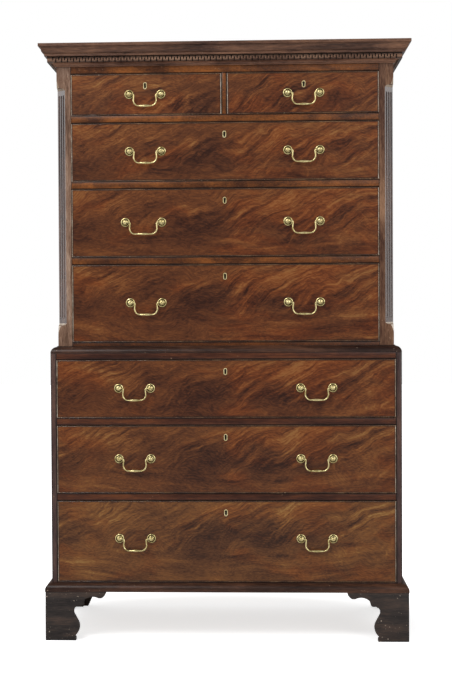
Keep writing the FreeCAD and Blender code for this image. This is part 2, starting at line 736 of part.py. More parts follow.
def bail(spread):
    """A swan-neck bail with a swelling grip.  Its origin is midway along its pivot."""
    corners = bail_corners(spread) + [("grip_half", "0 - bail_drop")]
    path = [FreeCAD.Vector(amount_of(across), 0, amount_of(up)) for across, up in corners]
    swell = FreeCAD.Vector(0, 0, path[-1].z)
    path += [swell] + [FreeCAD.Vector(-spot.x, 0, spot.z) for spot in reversed(path)]
    runs = [(after - before).normalize() for before, after in zip(path, path[1:])]
    deep = FreeCAD.Vector(*Y_AXIS)
    rings = []
    for spot, before, after in zip(path, runs[:1] + runs, runs + runs[-1:]):
        along = (before + after).normalize()
        mitred = deep.cross(along) * (1 / along.dot(after))
        radius = amount_of("grip_radius" if spot == swell else "wire_radius")
        rings.append(ring(spot, WIRE_SIDES, radius, deep, mitred))
    return flat_sided("bail_pattern", rings)


# ---------------------------------------------------------------- drawers

def drawer_front(name, x, face, z, handles, lock_x):
    """A front with a rebated edge for the beads, square holes for the posts and a keyhole."""
    body = doc.addObject("PartDesign::Body", name + "_front_board")
    across = (plus(x[0], "drawer_gap"), less(x[1], "drawer_gap"))
    up = (plus(z[0], "drawer_gap"), less(z[1], "drawer_gap"))
    back_part = outline(body, name + "_whole", "XZ_Plane", rectangle(across, up))
    pad(body, back_part, less("front_thick", "bead_depth"), backwards=True)
    field = outline(body, name + "_field", "XZ_Plane",
                    rectangle((plus(across[0], "bead"), less(across[1], "bead")),
                              (plus(up[0], "bead"), less(up[1], "bead"))))
    pad(body, field, "bead_depth")
    reach = plus(half("shank"), "shank_clear")
    holes = []
    for handle_x, handle_z, spread in handles:
        for post_x in (less(handle_x, half(spread)), plus(handle_x, half(spread))):
            holes.append(rectangle((less(post_x, reach), plus(post_x, reach)),
                                   (less(handle_z, reach), plus(handle_z, reach))))
    key_z = less(z[1], "keyhole_drop")
    holes.append(rectangle(
        (less(lock_x, half("keyhole_width")), plus(lock_x, half("keyhole_width"))),
        (less(key_z, half("keyhole_height")), plus(key_z, half("keyhole_height")))))
    pocket(body, outline(body, name + "_holes", "XZ_Plane", *holes))
    place(body, "0", plus(face, "bead_depth"))
    return body


def cockbead(name, length, turn, x, y, z):
    """A bead strip with mitred ends along one edge of a front, its outer edge at (x, z)."""
    strip = doc.addObject("Part::Wedge", name)
    end = half(length)
    short_end = less(end, "bead")
    depth = plus("bead_depth", "bead_proud")
    bind(strip, Xmin=neg(end), Xmax=end, Ymin="0", Ymax="bead", Zmin="0", Zmax=depth,
         X2min=neg(short_end), X2max=short_end, Z2min="0", Z2max=depth)
    return place(strip, x, y, z, about(Y_AXIS, turn).multiply(about(X_AXIS, 90)))


def cockbeads(name, x, face, z):
    low_x, high_x = plus(x[0], "drawer_gap"), less(x[1], "drawer_gap")
    low_z, high_z = plus(z[0], "drawer_gap"), less(z[1], "drawer_gap")
    width, height = less(high_x, low_x), less(high_z, low_z)
    middle_x, middle_z = half(plus(low_x, high_x)), half(plus(low_z, high_z))
    y = plus(face, "bead_depth")
    return [cockbead(name + "_bead_foot", width, 0, middle_x, y, low_z),
            cockbead(name + "_bead_head", width, 180, middle_x, y, high_z),
            cockbead(name + "_bead_left", height, 90, low_x, y, middle_z),
            cockbead(name + "_bead_right", height, -90, high_x, y, middle_z)]


def drawer_box(name, x, face, z):
    """Oak sides, back and bottom, with runners glued under the bottom at each side."""
    front = plus(face, "front_thick")
    rear = less(BACK, "back_board", "drawer_clear")
    low_x, high_x = plus(x[0], "drawer_gap"), less(x[1], "drawer_gap")
    inner = (plus(low_x, "drawer_side"), less(high_x, "drawer_side"))
    side_top = less(z[1], "side_drop")
    floor = plus(z[0], "runner_height")
    floor_top = plus(floor, "bottom_thick")
    pieces = [
        board(name + "_left_side", (low_x, inner[0]), (front, rear), (z[0], side_top)),
        board(name + "_right_side", (inner[1], high_x), (front, rear), (z[0], side_top)),
        board(name + "_back", inner, (less(rear, "drawer_side"), rear),
              (floor_top, less(z[1], "back_drop"))),
        board(name + "_bottom", inner, (front, rear), (floor, floor_top)),
        board(name + "_left_runner", (inner[0], plus(inner[0], "runner_width")),
              (front, rear), (z[0], floor)),
        board(name + "_right_runner", (less(inner[1], "runner_width"), inner[1]),
              (front, rear), (z[0], floor))]
    return pieces


def lock(name, middle, face, head):
    """A lock case on the back of the front, and the bolt that slides up out of it."""
    near = plus(face, "front_thick")
    top = less(head, "drawer_gap")
    case = board(name + "_lock_blank",
                 (less(middle, half("lock_width")), plus(middle, half("lock_width"))),
                 (near, plus(near, "lock_thick")), (less(top, "lock_height"), top))
    centre = plus(near, half("lock_thick"))
    across, deep = half("bolt_width"), half("bolt_thick")
    bolt_foot = less(top, "bolt_clear", "bolt_height")
    way = board(name + "_bolt_way",
                (less(middle, across, "bolt_clear"), plus(middle, across, "bolt_clear")),
                (less(centre, deep, "bolt_clear"), plus(centre, deep, "bolt_clear")),
                (less(bolt_foot, "bolt_clear"), plus(top, "overcut")))
    bolt = board(name + "_bolt_bar", (less(middle, across), plus(middle, across)),
                 (less(centre, deep), plus(centre, deep)),
                 (bolt_foot, plus(bolt_foot, "bolt_height")))
    return cut(name + "_lock_case", case, way), bolt


def keyhole_liner():
    """A brass liner round a keyhole, on the face; its origin is at its centre."""
    body = doc.addObject("PartDesign::Body", "liner_pattern")
    side, end = half("liner_width"), half("liner_height")
    shoulder, crown = less(end, half(side)), half(side)
    upper = [(side, shoulder), (crown, end), (neg(crown), end), (neg(side), shoulder)]
    lower = [(neg(across), neg(up)) for across, up in upper]
    slit = rectangle((neg(half("slit_width")), half("slit_width")),
                     (neg(half("slit_height")), half("slit_height")))
    shape = outline(body, "liner_outline", "XZ_Plane", upper + lower, slit)
    pad(body, shape, "liner_proud")
    return body


def copy_at(name, pattern, x, y, z):
    """One more of a pattern piece, in its own place."""
    return place(cluster(name, [pattern]), x, y, z)


def drawer(name, x, face, floor, head, handles, lock_x, patterns):
    """All the nodes of one drawer: front, box, brasses, lock bolt and bails."""
    z = (floor, head)
    liner, handle_patterns = patterns
    front = drawer_front(name, x, face, z, handles, lock_x)
    node(name + "_drawer_front", [front] + cockbeads(name, x, face, z))
    node(name + "_drawer_box", drawer_box(name, x, face, z))
    lock_case, bolt = lock(name, lock_x, face, head)
    brasses = [lock_case, copy_at(name + "_liner", liner, lock_x, face,
                                  less(head, "keyhole_drop"))]
    for index, (handle_x, handle_z, spread) in enumerate(handles):
        fittings, bail_pattern = handle_patterns[spread]
        brasses.append(copy_at("%s_fittings_%d" % (name, index + 1), fittings, handle_x, face,
                               handle_z))
        ending = "_bail" if len(handles) == 1 else ("_bail_left", "_bail_right")[index]
        part = node(name + ending, [bail_pattern])
        place(part, handle_x, less(face, "pivot_out"), handle_z)
    node(name + "_drawer_brasses", brasses)
    node(name + "_lock_bolt", [bolt])


def drawers():
    spreads = ("post_spread", "wide_post_spread")
    patterns = (keyhole_liner(), {one: (handle_fittings(one), bail(one)) for one in spreads})
    rises = {"lower_bottom": "deep_handle_rise"}
    for row in LOWER_ROWS + UPPER_ROWS[:-1]:
        low = row in LOWER_ROWS
        bay, face = (LOWER_BAY, LOWER_FACE) if low else (UPPER_BAY, UPPER_FACE)
        out = LOWER_HANDLE if low else UPPER_HANDLE
        level = plus(half(plus(FLOORS[row], head_of(row))), rises.get(row, "handle_rise"))
        left = (neg(out), level, "post_spread")
        if row == "upper_middle":
            # its outer post stands further out than on the other handles
            outward = half(less("wide_post_spread", "post_spread"))
            left = (neg(plus(out, outward)), level, "wide_post_spread")
        drawer(row, (neg(bay), bay), face, FLOORS[row], head_of(row),
               [left, (out, level, "post_spread")], "0", patterns)
    floor, head = FLOORS["short"], head_of("short")
    level = plus(half(plus(floor, head)), "short_handle_rise")
    inner = half("muntin")
    for name, x, middle in (("short_left", (neg(UPPER_BAY), neg(inner)), neg(UPPER_HANDLE)),
                            ("short_right", (inner, UPPER_BAY), UPPER_HANDLE)):
        drawer(name, x, UPPER_FACE, floor, head, [(middle, level, "post_spread")], middle,
               patterns)


# ---------------------------------------------------------------- the whole chest

lower_case()
upper_case()
canted_corners()
waist_moulding()
base_moulding()
cornice()
key_dentil_band()
bracket_feet()
drawers()
doc.recompute()

for thing in doc.Objects:
    if "Invalid" in thing.State or "Error" in thing.State:
        raise RuntimeError("%s failed: %s" % (thing.Label, thing.State))

os.makedirs("parts", exist_ok=True)
for part in NODES:
    if part.Shape.isNull() or not part.Shape.isValid():
        raise RuntimeError(part.Label + " has no valid shape")
    part.Shape.exportStep("parts/" + part.Label + ".step")
print("%d nodes" % len(NODES))
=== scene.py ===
import math

import bmesh
import bpy
from mathutils import Matrix, Vector


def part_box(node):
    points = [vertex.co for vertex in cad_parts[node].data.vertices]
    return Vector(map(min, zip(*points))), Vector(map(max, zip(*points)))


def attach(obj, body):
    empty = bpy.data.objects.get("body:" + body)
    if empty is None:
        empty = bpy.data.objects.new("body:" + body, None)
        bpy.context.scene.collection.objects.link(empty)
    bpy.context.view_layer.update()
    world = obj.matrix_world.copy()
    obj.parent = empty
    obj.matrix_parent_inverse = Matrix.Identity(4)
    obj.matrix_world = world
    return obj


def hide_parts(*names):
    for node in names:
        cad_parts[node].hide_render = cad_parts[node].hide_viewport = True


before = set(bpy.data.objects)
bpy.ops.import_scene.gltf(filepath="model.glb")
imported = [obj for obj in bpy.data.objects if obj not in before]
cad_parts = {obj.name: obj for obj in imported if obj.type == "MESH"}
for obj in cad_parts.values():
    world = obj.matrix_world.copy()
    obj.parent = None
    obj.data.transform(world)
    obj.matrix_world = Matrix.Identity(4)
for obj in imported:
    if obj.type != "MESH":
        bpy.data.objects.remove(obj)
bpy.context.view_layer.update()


# ------------------------------ lower case
# The lower case has solid mahogany sides with drawer rails between them, and pine dust boards
# behind the rails.  The rails are tenoned into the sides, and the back is nailed into rebates.

def paint(red, green, blue):
    """A colour as it is seen, from 0 to 255, in the values that a shader takes."""
    seen = [channel / 255 for channel in (red, green, blue)]
    return tuple(c / 12.92 if c <= 0.04045 else ((c + 0.055) / 1.055) ** 2.4 for c in seen) + (1,)


class Flow:
    """What comes out of a node.  Arithmetic on it adds the nodes that work it out."""

    def __init__(self, socket):
        self.socket = socket
        self.tree = socket.id_data

    def __add__(self, other):
        return calc("ADD", self, other)

    def __sub__(self, other):
        return calc("SUBTRACT", self, other)

    def __rsub__(self, other):
        return calc("SUBTRACT", other, self)

    def __mul__(self, other):
        return calc("MULTIPLY", self, other)

    __radd__, __rmul__ = __add__, __mul__


def feed(socket, value):
    if isinstance(value, Flow):
        value.tree.links.new(value.socket, socket)
    else:
        socket.default_value = value


def tree_of(*values):
    return next(value.tree for value in values if isinstance(value, Flow))


def add(tree, kind, **values):
    """A new node, with a number, a colour or a flow for each named input."""
    node = tree.nodes.new(kind)
    for name, value in values.items():
        feed(node.inputs[name.replace("_", " ")], value)
    return node


def result(node, name=0):
    return Flow(node.outputs[name])


def calc(operation, *values, kind="ShaderNodeMath", gives=0):
    node = tree_of(*values).nodes.new(kind)
    node.operation = operation
    for socket, value in zip(node.inputs, values):
        feed(socket, value)
    return result(node, gives)


def shades(factor, *stops):
    """Colours blended along a factor from 0 to 1; a stop is a place and a colour."""
    node = add(factor.tree, "ShaderNodeValToRGB", Fac=factor)
    band = node.color_ramp
    while len(band.elements) < len(stops):
        band.elements.new(1)
    for element, (place, colour) in zip(band.elements, stops):
        element.position = place
        element.color = colour
    return result(node, "Color")


def blend(factor, first, second, mode="MIX"):
    node = factor.tree.nodes.new("ShaderNodeMix")
    node.data_type = "RGBA"
    node.blend_type = mode
    sockets = {socket.identifier: socket for socket in (*node.inputs, *node.outputs)}
    for name, value in (("Factor_Float", factor), ("A_Color", first), ("B_Color", second)):
        feed(sockets[name], value)
    return Flow(sockets["Result_Color"])


def stretched(position, scale):
    """The position squeezed or stretched on each axis."""
    return result(add(position.tree, "ShaderNodeMapping", Vector=position, Scale=scale))


def axes(vector):
    return [Flow(part) for part in add(vector.tree, "ShaderNodeSeparateXYZ", Vector=vector).outputs]


def object_place(tree):
    return result(tree.nodes.new("ShaderNodeTexCoord"), "Object")


def kept(tree, name, gives="Vector"):
    """The values that keep() stores in a mesh."""
    node = tree.nodes.new("ShaderNodeAttribute")
    node.attribute_name = name
    return result(node, gives)


def step_up(value, low, high):
    """Rises smoothly from 0 to 1 as a value goes from low to high."""
    node = add(value.tree, "ShaderNodeMapRange", Value=value, From_Min=low, From_Max=high)
    node.interpolation_type = "SMOOTHSTEP"
    return result(node)


def cloud(position, size, detail=4.0, rough=0.55, warp=0.0):
    """Soft noise with lumps of about this size in metres."""
    return result(add(position.tree, "ShaderNodeTexNoise", Vector=position, Scale=1 / size,
                      Detail=detail, Roughness=rough, Distortion=warp), "Fac")


def shader_group(name, inputs, outputs, work_out):
    """A shader group.  An input is a number, or None for a position; work_out gives the
    outputs in turn."""
    group = bpy.data.node_groups.new(name, "ShaderNodeTree")
    for label, value in inputs.items():
        kind = "NodeSocketVector" if value is None else "NodeSocketFloat"
        socket = group.interface.new_socket(label, in_out="INPUT", socket_type=kind)
        if value is not None:
            socket.default_value = value
    for label in outputs:
        group.interface.new_socket(label, in_out="OUTPUT", socket_type="NodeSocketFloat")
    start = group.nodes.new("NodeGroupInput")
    end = group.nodes.new("NodeGroupOutput")
    for label, flow in zip(outputs, work_out(*[result(start, label) for label in inputs])):
        feed(end.inputs[label], flow)
    return group


def use_group(tree, group, **values):
    """Places a group in a tree, and gives its outputs by name."""
    node = tree.nodes.new("ShaderNodeGroup")
    node.node_tree = group
    for name, value in values.items():
        feed(node.inputs[name], value)
    return {socket.name: Flow(socket) for socket in node.outputs}


def straight_grain(position):
    """Streaks, fine fibres and open pores of plain-sawn wood; the position comes in stretched
    along the grain."""
    streaks = cloud(position, 0.28, 5, 0.6, 0.5)
    fibres = cloud(stretched(position, (2.2, 2.2, 2.2)), 0.05, 3, 0.65)
    pores = cloud(stretched(position, (5, 5, 5)), 0.03, 2, 0.5)
    return streaks, fibres, calc("SMOOTH_MIN", (pores - 0.57) * 6, 1, 0.1)


def handling(position, amount):
    """Old polish that has darkened in patches, and small knocks that show lighter wood where
    they lie near one another."""
    patches = cloud(position, 0.17, 3, 0.6, 0.3)
    small = (cloud(position, 0.006, 2, 0.5) - 0.68) * 14
    near = (cloud(position, 0.09, 2, 0.5) - 0.48) * 6
    knocks = calc("MAXIMUM", small, 0) * calc("MAXIMUM", near, 0) * amount
    return patches, calc("MINIMUM", knocks, 1)


def dirt_and_shade_at_edges(width):
    """Darkening along the edges of a board's front: wax, dirt and dark joints, and painted shade
    where the gaps and corners beside it fall in shade; from the distances to its edges and how far
    behind its front a point lies."""
    nearest = 1.0
    for name in ("sides", "ends"):
        to_low, to_high, behind = axes(kept(width.tree, name))
        nearest = calc("MINIMUM", nearest, calc("MINIMUM", to_low, to_high))
    # Darker near the edges: dirt and dark joints, and painted shade of the gaps beside them.
    dirt_and_shade = 1 - step_up(nearest, 0, width)
    return [dirt_and_shade * (1 - step_up(behind, 0.0008, 0.002))]


grain_group = shader_group("Straight Grain", {"Position": None},
                           ["Streaks", "Fibres", "Pores"], straight_grain)
handling_group = shader_group("Age and Handling", {"Position": None, "Amount": 0.5},
                              ["Patches", "Knocks"], handling)
# Darkening along board edges: dirt, dark joints and painted shade of the gaps between parts.
edge_dirt_and_shade_group = shader_group("Edge Grime", {"Width": 0.003}, ["Grime"], dirt_and_shade_at_edges)

ALONG_X, LEVEL, UPRIGHT = (1, 11, 11), (1, 1, 11), (11, 11, 1)
# The first colour darkens board edges with dirt and painted shade of the gaps; the second tints the
# painted shade that deepens with height.
DIRT_AND_SHADE_COLOUR, HEIGHT_SHADE_TINT = paint(22, 12, 9), (0.60, 0.55, 0.55, 1)


def new_material(name):
    """A new material with its tree and its shader."""
    material = bpy.data.materials.new(name)
    material.use_nodes = True
    return material, material.node_tree, material.node_tree.nodes["Principled BSDF"]


def surface(shader, colour, rough, relief, strength, depth):
    """Feeds a shader its colour, its roughness and a relief of some depth in metres."""
    bump = add(relief.tree, "ShaderNodeBump", Strength=strength, Distance=depth, Height=relief)
    feed(shader.inputs["Base Color"], colour)
    feed(shader.inputs["Roughness"], rough)
    feed(shader.inputs["Normal"], result(bump))


def solid_wood(name, stretch, tones, worn, knocks, rough, shine=0.25, edge_dirt_and_shade=0.0, shade_by_height=()):
    """Polished solid wood in three tones along its streaks, with worn spots.  It can darken along
    its edges, to a given width, with dirt, dark joints and painted shade of the gaps beside it, and
    with height, a painted shade that deepens from the second of each pair of heights to the first."""
    dark, middle, light = [paint(*tone) for tone in tones]
    material, tree, shader = new_material(name)
    shader.inputs["Specular IOR Level"].default_value = shine
    place = object_place(tree)
    grain = use_group(tree, grain_group, Position=stretched(place, stretch))
    age = use_group(tree, handling_group, Position=place, Amount=knocks)
    tone = grain["Streaks"] * 0.62 + grain["Fibres"] * 0.38 + (age["Patches"] - 0.5) * 0.35
    colour = shades(tone, (0.38, dark), (0.5, middle), (0.63, light))
    pores = calc("MAXIMUM", grain["Pores"], 0) * 0.45
    colour = blend(pores, colour, dark)
    # Dirt and painted shade along the edges of the board.
    if edge_dirt_and_shade:
        dirt_and_shade = use_group(tree, edge_dirt_and_shade_group, Width=edge_dirt_and_shade)["Grime"] * 0.95
        colour = blend(dirt_and_shade, colour, DIRT_AND_SHADE_COLOUR)
    # Painted shade that deepens between each pair of heights.
    for dark_at, light_at in shade_by_height:
        shade = 1 - step_up(axes(place)[2], dark_at, light_at)
        colour = blend(shade, colour, HEIGHT_SHADE_TINT, "MULTIPLY")
    colour = blend(age["Knocks"], colour, paint(*worn))
    surface(shader, colour, rough + grain["Fibres"] * 0.16, grain["Fibres"] - pores, 0.12, 0.0006)
    return material


WORN_EDGE = (176, 140, 110)
# How wide the dirt and painted shade lie along the edges of rails and sides, where the gaps beside
# the drawers fall in shade.
DIRT_AND_SHADE_WIDTH = 0.0042
lower_rail_wood = solid_wood(
    "Lower rail mahogany", ALONG_X, [(46, 21, 13), (72, 38, 24), (102, 56, 30)], WORN_EDGE,
    knocks=0.4, rough=0.3, shine=0.22, edge_dirt_and_shade=DIRT_AND_SHADE_WIDTH)
lower_side_wood = solid_wood(
    "Lower side mahogany", UPRIGHT, [(48, 32, 32), (74, 54, 50), (98, 72, 62)], WORN_EDGE,
    knocks=0.5, rough=0.26, shine=0.3, edge_dirt_and_shade=DIRT_AND_SHADE_WIDTH)
pine_wood = solid_wood(
    "Unpolished pine", UPRIGHT, [(110, 82, 52), (146, 112, 74), (170, 136, 94)], (90, 66, 44),
    knocks=0.6, rough=0.6, edge_dirt_and_shade=0.0045)
shelf_wood = solid_wood(
    "Pine of the dust boards", ALONG_X, [(104, 76, 48), (138, 104, 68), (164, 130, 88)],
    (84, 60, 40), knocks=0.6, rough=0.6)


def ease_edges(shape, width, steps=2, over=35, under=360, longer_than=0):
    """Takes the sharpness off the edges where the faces turn by more than one angle and less
    than another, as scraping and wax do."""
    edges = [edge for edge in shape.edges
             if edge.is_manifold and edge.calc_length() > longer_than and
             math.radians(over) < edge.calc_face_angle() < math.radians(under)]
    bmesh.ops.bevel(shape, geom=edges, offset=width, segments=steps, profile=0.5,
                    affect="EDGES", clamp_overlap=True)


def meshed(name, shape):
    """The mesh of a shape that is no longer needed."""
    mesh = bpy.data.meshes.new(name)
    shape.to_mesh(mesh)
    shape.free()
    return mesh


def placed(name, data):
    thing = bpy.data.objects.new(name, data)
    bpy.context.scene.collection.objects.link(thing)
    return thing


SHARP = math.radians(32)


def finished(name, shape, finishes, body, slot, *stands_for):
    """Makes a shape a piece of the chest that rides on a body and stands for its parts."""
    bmesh.ops.recalc_face_normals(shape, faces=shape.faces)
    mesh = meshed(name, shape)
    mesh.polygons.foreach_set("use_smooth", [True] * len(mesh.polygons))
    mesh.set_sharp_from_angle(angle=SHARP)
    for finish in finishes:
        mesh.materials.append(finish)
    piece = placed(name, mesh)
    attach(piece, body)
    if stands_for:
        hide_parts(*stands_for)
    return piece


def keep(mesh, name, values):
    """Stores one value for each point of a mesh, for a material to read."""
    if isinstance(values[0], float):
        mesh.attributes.new(name, "FLOAT", "POINT").data.foreach_set("value", values)
    else:
        flat = [number for value in values for number in value]
        mesh.attributes.new(name, "FLOAT_VECTOR", "POINT").data.foreach_set("vector", flat)


def keep_margins(piece, facing=1):
    """Keeps each point's distances to the edges and the face of the board it belongs to;
    facing is -1 for boards that are seen from behind."""
    shape = bmesh.new()
    shape.from_mesh(piece.data)
    margins = {"sides": [None] * len(shape.verts), "ends": [None] * len(shape.verts)}
    left = set(shape.verts)
    while left:
        board, edge_on = set(), [left.pop()]
        while edge_on:
            point = edge_on.pop()
            board.add(point)
            near = {edge.other_vert(point) for edge in point.link_edges} & left
            left -= near
            edge_on.extend(near)
        face = min(facing * point.co.y for point in board)
        for name, axis in (("sides", 0), ("ends", 2)):
            low = min(point.co[axis] for point in board)
            high = max(point.co[axis] for point in board)
            for point in board:
                at = point.co[axis]
                margins[name][point.index] = (at - low, high - at, facing * point.co.y - face)
    shape.free()
    for name, values in margins.items():
        keep(piece.data, name, values)


def dress(node, finish):
    """Gives a part that keeps its own shape its finish."""
    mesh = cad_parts[node].data
    mesh.materials.clear()
    mesh.materials.append(finish)


def block(shape, corner, opposite):
    """A squared block between two opposite corners."""
    made = bmesh.ops.create_cube(shape, size=1)
    size = [abs(far - near) for near, far in zip(corner, opposite)]
    bmesh.ops.scale(shape, vec=size, verts=made["verts"])
    bmesh.ops.translate(shape, vec=(Vector(corner) + Vector(opposite)) / 2, verts=made["verts"])


EASED, BACK_EASED = 0.0008, 0.0018
BACK_BOARDS = 4


def eased_boards(name, node, finish, body):
    """A part's own boards, their triangles joined and flat faces whole, with eased edges."""
    shape = bmesh.new()
    shape.from_mesh(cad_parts[node].data)
    bmesh.ops.remove_doubles(shape, verts=shape.verts, dist=1e-5)
    bmesh.ops.dissolve_limit(shape, angle_limit=math.radians(0.5), verts=shape.verts,
                             edges=shape.edges)
    ease_edges(shape, EASED)
    keep_margins(finished(name, shape, [finish], body, "mahogany_case", node))


def case(name, side_wood, rail_wood):
    """Sides, rails, dust boards, and a back of upright boards whose joints show."""
    body = name + "_chest"
    eased_boards(name + "_side_boards", name + "_sides", side_wood, body)
    eased_boards(name + "_rail_pieces", name + "_rails", rail_wood, body)
    dress(name + "_dust_boards", shelf_wood)
    back = name + "_back"
    low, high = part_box(back)
    width = (high.x - low.x) / BACK_BOARDS
    shape = bmesh.new()
    for number in range(BACK_BOARDS):
        left = low.x + number * width
        block(shape, (left, low.y, low.z), (left + width, high.y, high.z))
    ease_edges(shape, BACK_EASED)
    keep_margins(finished(back + "_boards", shape, [pine_wood], body, "pine", back), facing=-1)


case("lower", lower_side_wood, lower_rail_wood)


# ------------------------------ bracket feet
# Each front foot is two shaped mahogany brackets mitred at the corner, with a block glued
# inside.  A back foot has one shaped bracket at the side and a plain one across the back.

def around(items):
    """Each item with the one after it, and the last with the first."""
    return zip(items, items[1:] + items[:1])


def traced(corners, steps=7):
    """Points of an outline.  A corner is (across, up) or, where an arc leads on from it,
    (across, up, side it bulges to, radius)."""
    points = []
    for corner, after in around(corners):
        start, end = Vector(corner[:2]), Vector(after[:2])
        points.append(start)
        if len(corner) == 2:
            continue
        side, radius = corner[2:]
        chord = end - start
        across = Vector((-chord.y, chord.x)).normalized() * (1 if side == "left" else -1)
        drop = math.sqrt(max(radius ** 2 - (chord.length / 2) ** 2, 0))
        centre = (start + end) / 2 - across * drop
        sweep = 2 * math.asin(min(chord.length / 2 / radius, 1))
        turn = -sweep if side == "left" else sweep
        for step in range(1, steps):
            spoke = start - centre
            spoke.rotate(Matrix.Rotation(turn * step / steps, 2))
            points.append(centre + spoke)
    return points


def skin(shape, rings, ends=True):
    """Faces from each ring of points to the next, and over the two ends."""
    if ends:
        shape.faces.new(rings[0])
        shape.faces.new(rings[-1][::-1])
    for near, far in zip(rings, rings[1:]):
        for (start, after), (far_start, far_after) in zip(around(near), around(far)):
            shape.faces.new((start, far_start, far_after, after))


def pull(shape, points, near, far):
    """A closed length between two ends; near and far place each point of the section."""
    skin(shape, [[shape.verts.new(end(*point)) for point in points] for end in (near, far)])


BRACKET, FOOT_EASED = 0.020, 0.0012
GLUE_BLOCK, BLOCK_CLEAR = 0.040, 0.005
feet_low, feet_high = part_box("bracket_feet")
foot_top = feet_high.z
bracket_outline = traced([
    (0, 0), (0.094, 0), (0.094, 0.009), (0.0895, 0.014, "right", 0.0345), (0.1015, 0.058),
    (0.088, 0.083, "left", 0.019), (0.099, 0.1065), (0.115, 0.109),
    (0.1195, 0.124, "left", 0.038), (0.164, 0.1302), (0.173, 0.1302, "right", 0.0275),
    (0.188, foot_top), (0, foot_top)])
plain_outline = traced([(0, 0), (0.052, 0), (0.120, foot_top), (0, foot_top)])


def bracket(shape, points, start, run, inward, mitred):
    """One bracket from a corner of the foot, along run, with its thickness inward."""
    def end(depth):
        least = depth if mitred else 0
        return lambda across, up: (*(start + run * max(across, least) + inward * depth), up)
    pull(shape, points, end(0), end(BRACKET))


def bracket_feet():
    shape = bmesh.new()
    for side in (-1, 1):
        in_x, in_y = Vector((-side, 0)), Vector((0, 1))
        front = Vector((side * feet_high.x, feet_low.y))
        bracket(shape, bracket_outline, front, in_x, in_y, True)
        bracket(shape, bracket_outline, front, in_y, in_x, True)
        back = Vector((side * feet_high.x, feet_high.y))
        bracket(shape, bracket_outline, back, -in_y, in_x, False)
        bracket(shape, plain_outline, back + in_x * BRACKET, in_x, -in_y, False)
        for corner, inward in ((front + (in_x + in_y) * BRACKET, in_y),
                               (back + (in_x - in_y) * BRACKET, -in_y)):
            opposite = corner + (in_x + inward) * GLUE_BLOCK
            block(shape, (*corner, BLOCK_CLEAR), (*opposite, foot_top))
    ease_edges(shape, FOOT_EASED)
    return shape


foot_wood = solid_wood("Foot mahogany", LEVEL, [(32, 27, 26), (52, 45, 42), (76, 61, 53)],
                       (176, 160, 144), knocks=1.6, rough=0.4)
finished("bracket_feet_pieces", bracket_feet(), [foot_wood], "lower_chest", "mahogany_dark",
         "bracket_feet")


# ------------------------------ base moulding
# An ovolo with a small fillet over it, in three mitred lengths, glued round the foot of the
# case so that it sits on the brackets.

MOULDING_EASED = 0.0003


def mitre(side, half_width, face, foot):
    """Places a section point, (out from the case, up), on the mitre at a front corner."""
    return lambda out, up: (side * (half_width + out), face - out, foot + up)


def squared(side, half_width, stop, foot):
    """Places a section point on the square end of a length at one side."""
    return lambda out, up: (side * (half_width + out), stop, foot + up)


def mitred_runs(section, half_width, face, back, foot):
    """Three lengths of one section round the front and sides of a case."""
    shape = bmesh.new()
    pull(shape, section, mitre(-1, half_width, face, foot), mitre(1, half_width, face, foot))
    for side in (-1, 1):
        pull(shape, section, mitre(side, half_width, face, foot),
             squared(side, half_width, back, foot))
    ease_edges(shape, MOULDING_EASED, steps=1, over=40)
    return shape


lower_low, lower_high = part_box("lower_sides")
base_low, base_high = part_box("base_moulding")
BASE_LIP, BASE_FILLET, BASE_ROUND = 0.008, 0.0015, 0.0195
base_out = base_high.x - lower_high.x
base_height = base_high.z - base_low.z
base_section = traced([(0, 0), (base_out, 0), (base_out, BASE_LIP, "right", BASE_ROUND),
                       (BASE_FILLET, base_height), (0, base_height)], steps=9)
moulding_wood = solid_wood("Moulding mahogany", LEVEL, [(36, 21, 17), (62, 40, 30), (90, 59, 43)],
                           (160, 138, 118), knocks=1.2, rough=0.26)
finished("base_moulding_lengths",
         mitred_runs(base_section, lower_high.x, lower_low.y, lower_high.y, base_low.z),
         [moulding_wood], "lower_chest", "mahogany_dark", "base_moulding")


# ------------------------------ waist moulding
# A quarter round between two fillets that stands on the lower case.  Its mitred lengths hold
# the upper case in its place, which nothing else fastens.

waist_low, waist_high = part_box("waist_moulding")
WAIST_ROOT, WAIST_FILLET, WAIST_LIP, WAIST_ROUND = 0.0215, 0.0035, 0.002, 0.019
waist_height = waist_high.z - waist_low.z
waist_crown = WAIST_FILLET - WAIST_ROOT
waist_section = traced([
    (-WAIST_ROOT, 0), (0, 0), (0, WAIST_LIP, "right", WAIST_ROUND),
    (waist_crown, waist_height - WAIST_LIP), (waist_crown, waist_height),
    (-WAIST_ROOT, waist_height)], steps=9)
finished("waist_moulding_lengths",
         mitred_runs(waist_section, lower_high.x, lower_low.y, lower_high.y, waist_low.z),
         [moulding_wood], "lower_chest", "mahogany_dark", "waist_moulding")


# ------------------------------ upper case
# The upper case is made as the lower one is, but its sides stop behind the corner posts.  Its
# rails are a warmer, redder mahogany, and a pine top board closes it behind the cornice.

SLANTING = (3.2, 9, 6)
# The upper rails darken towards the foot of the upper case: painted shade.
RAIL_SHADE_HEIGHTS = (0.98, 1.26)
upper_rail_wood = solid_wood(
    "Upper rail mahogany", SLANTING, [(62, 32, 16), (101, 57, 25), (138, 80, 34)], WORN_EDGE,
    knocks=0.5, rough=0.3, shine=0.2, edge_dirt_and_shade=DIRT_AND_SHADE_WIDTH, shade_by_height=[RAIL_SHADE_HEIGHTS])
upper_side_wood = solid_wood(
    "Upper side mahogany", UPRIGHT, [(52, 28, 20), (82, 47, 32), (108, 65, 42)], WORN_EDGE,
    knocks=0.4, rough=0.3)
case("upper", upper_side_wood, upper_rail_wood)


# ------------------------------ canted corners
# Square mahogany posts with their outer edge planed off.  Each cant carries three flutes with
# round ends, cut by a scratch tool, and is stopped above and below by a carved lamb's tongue.

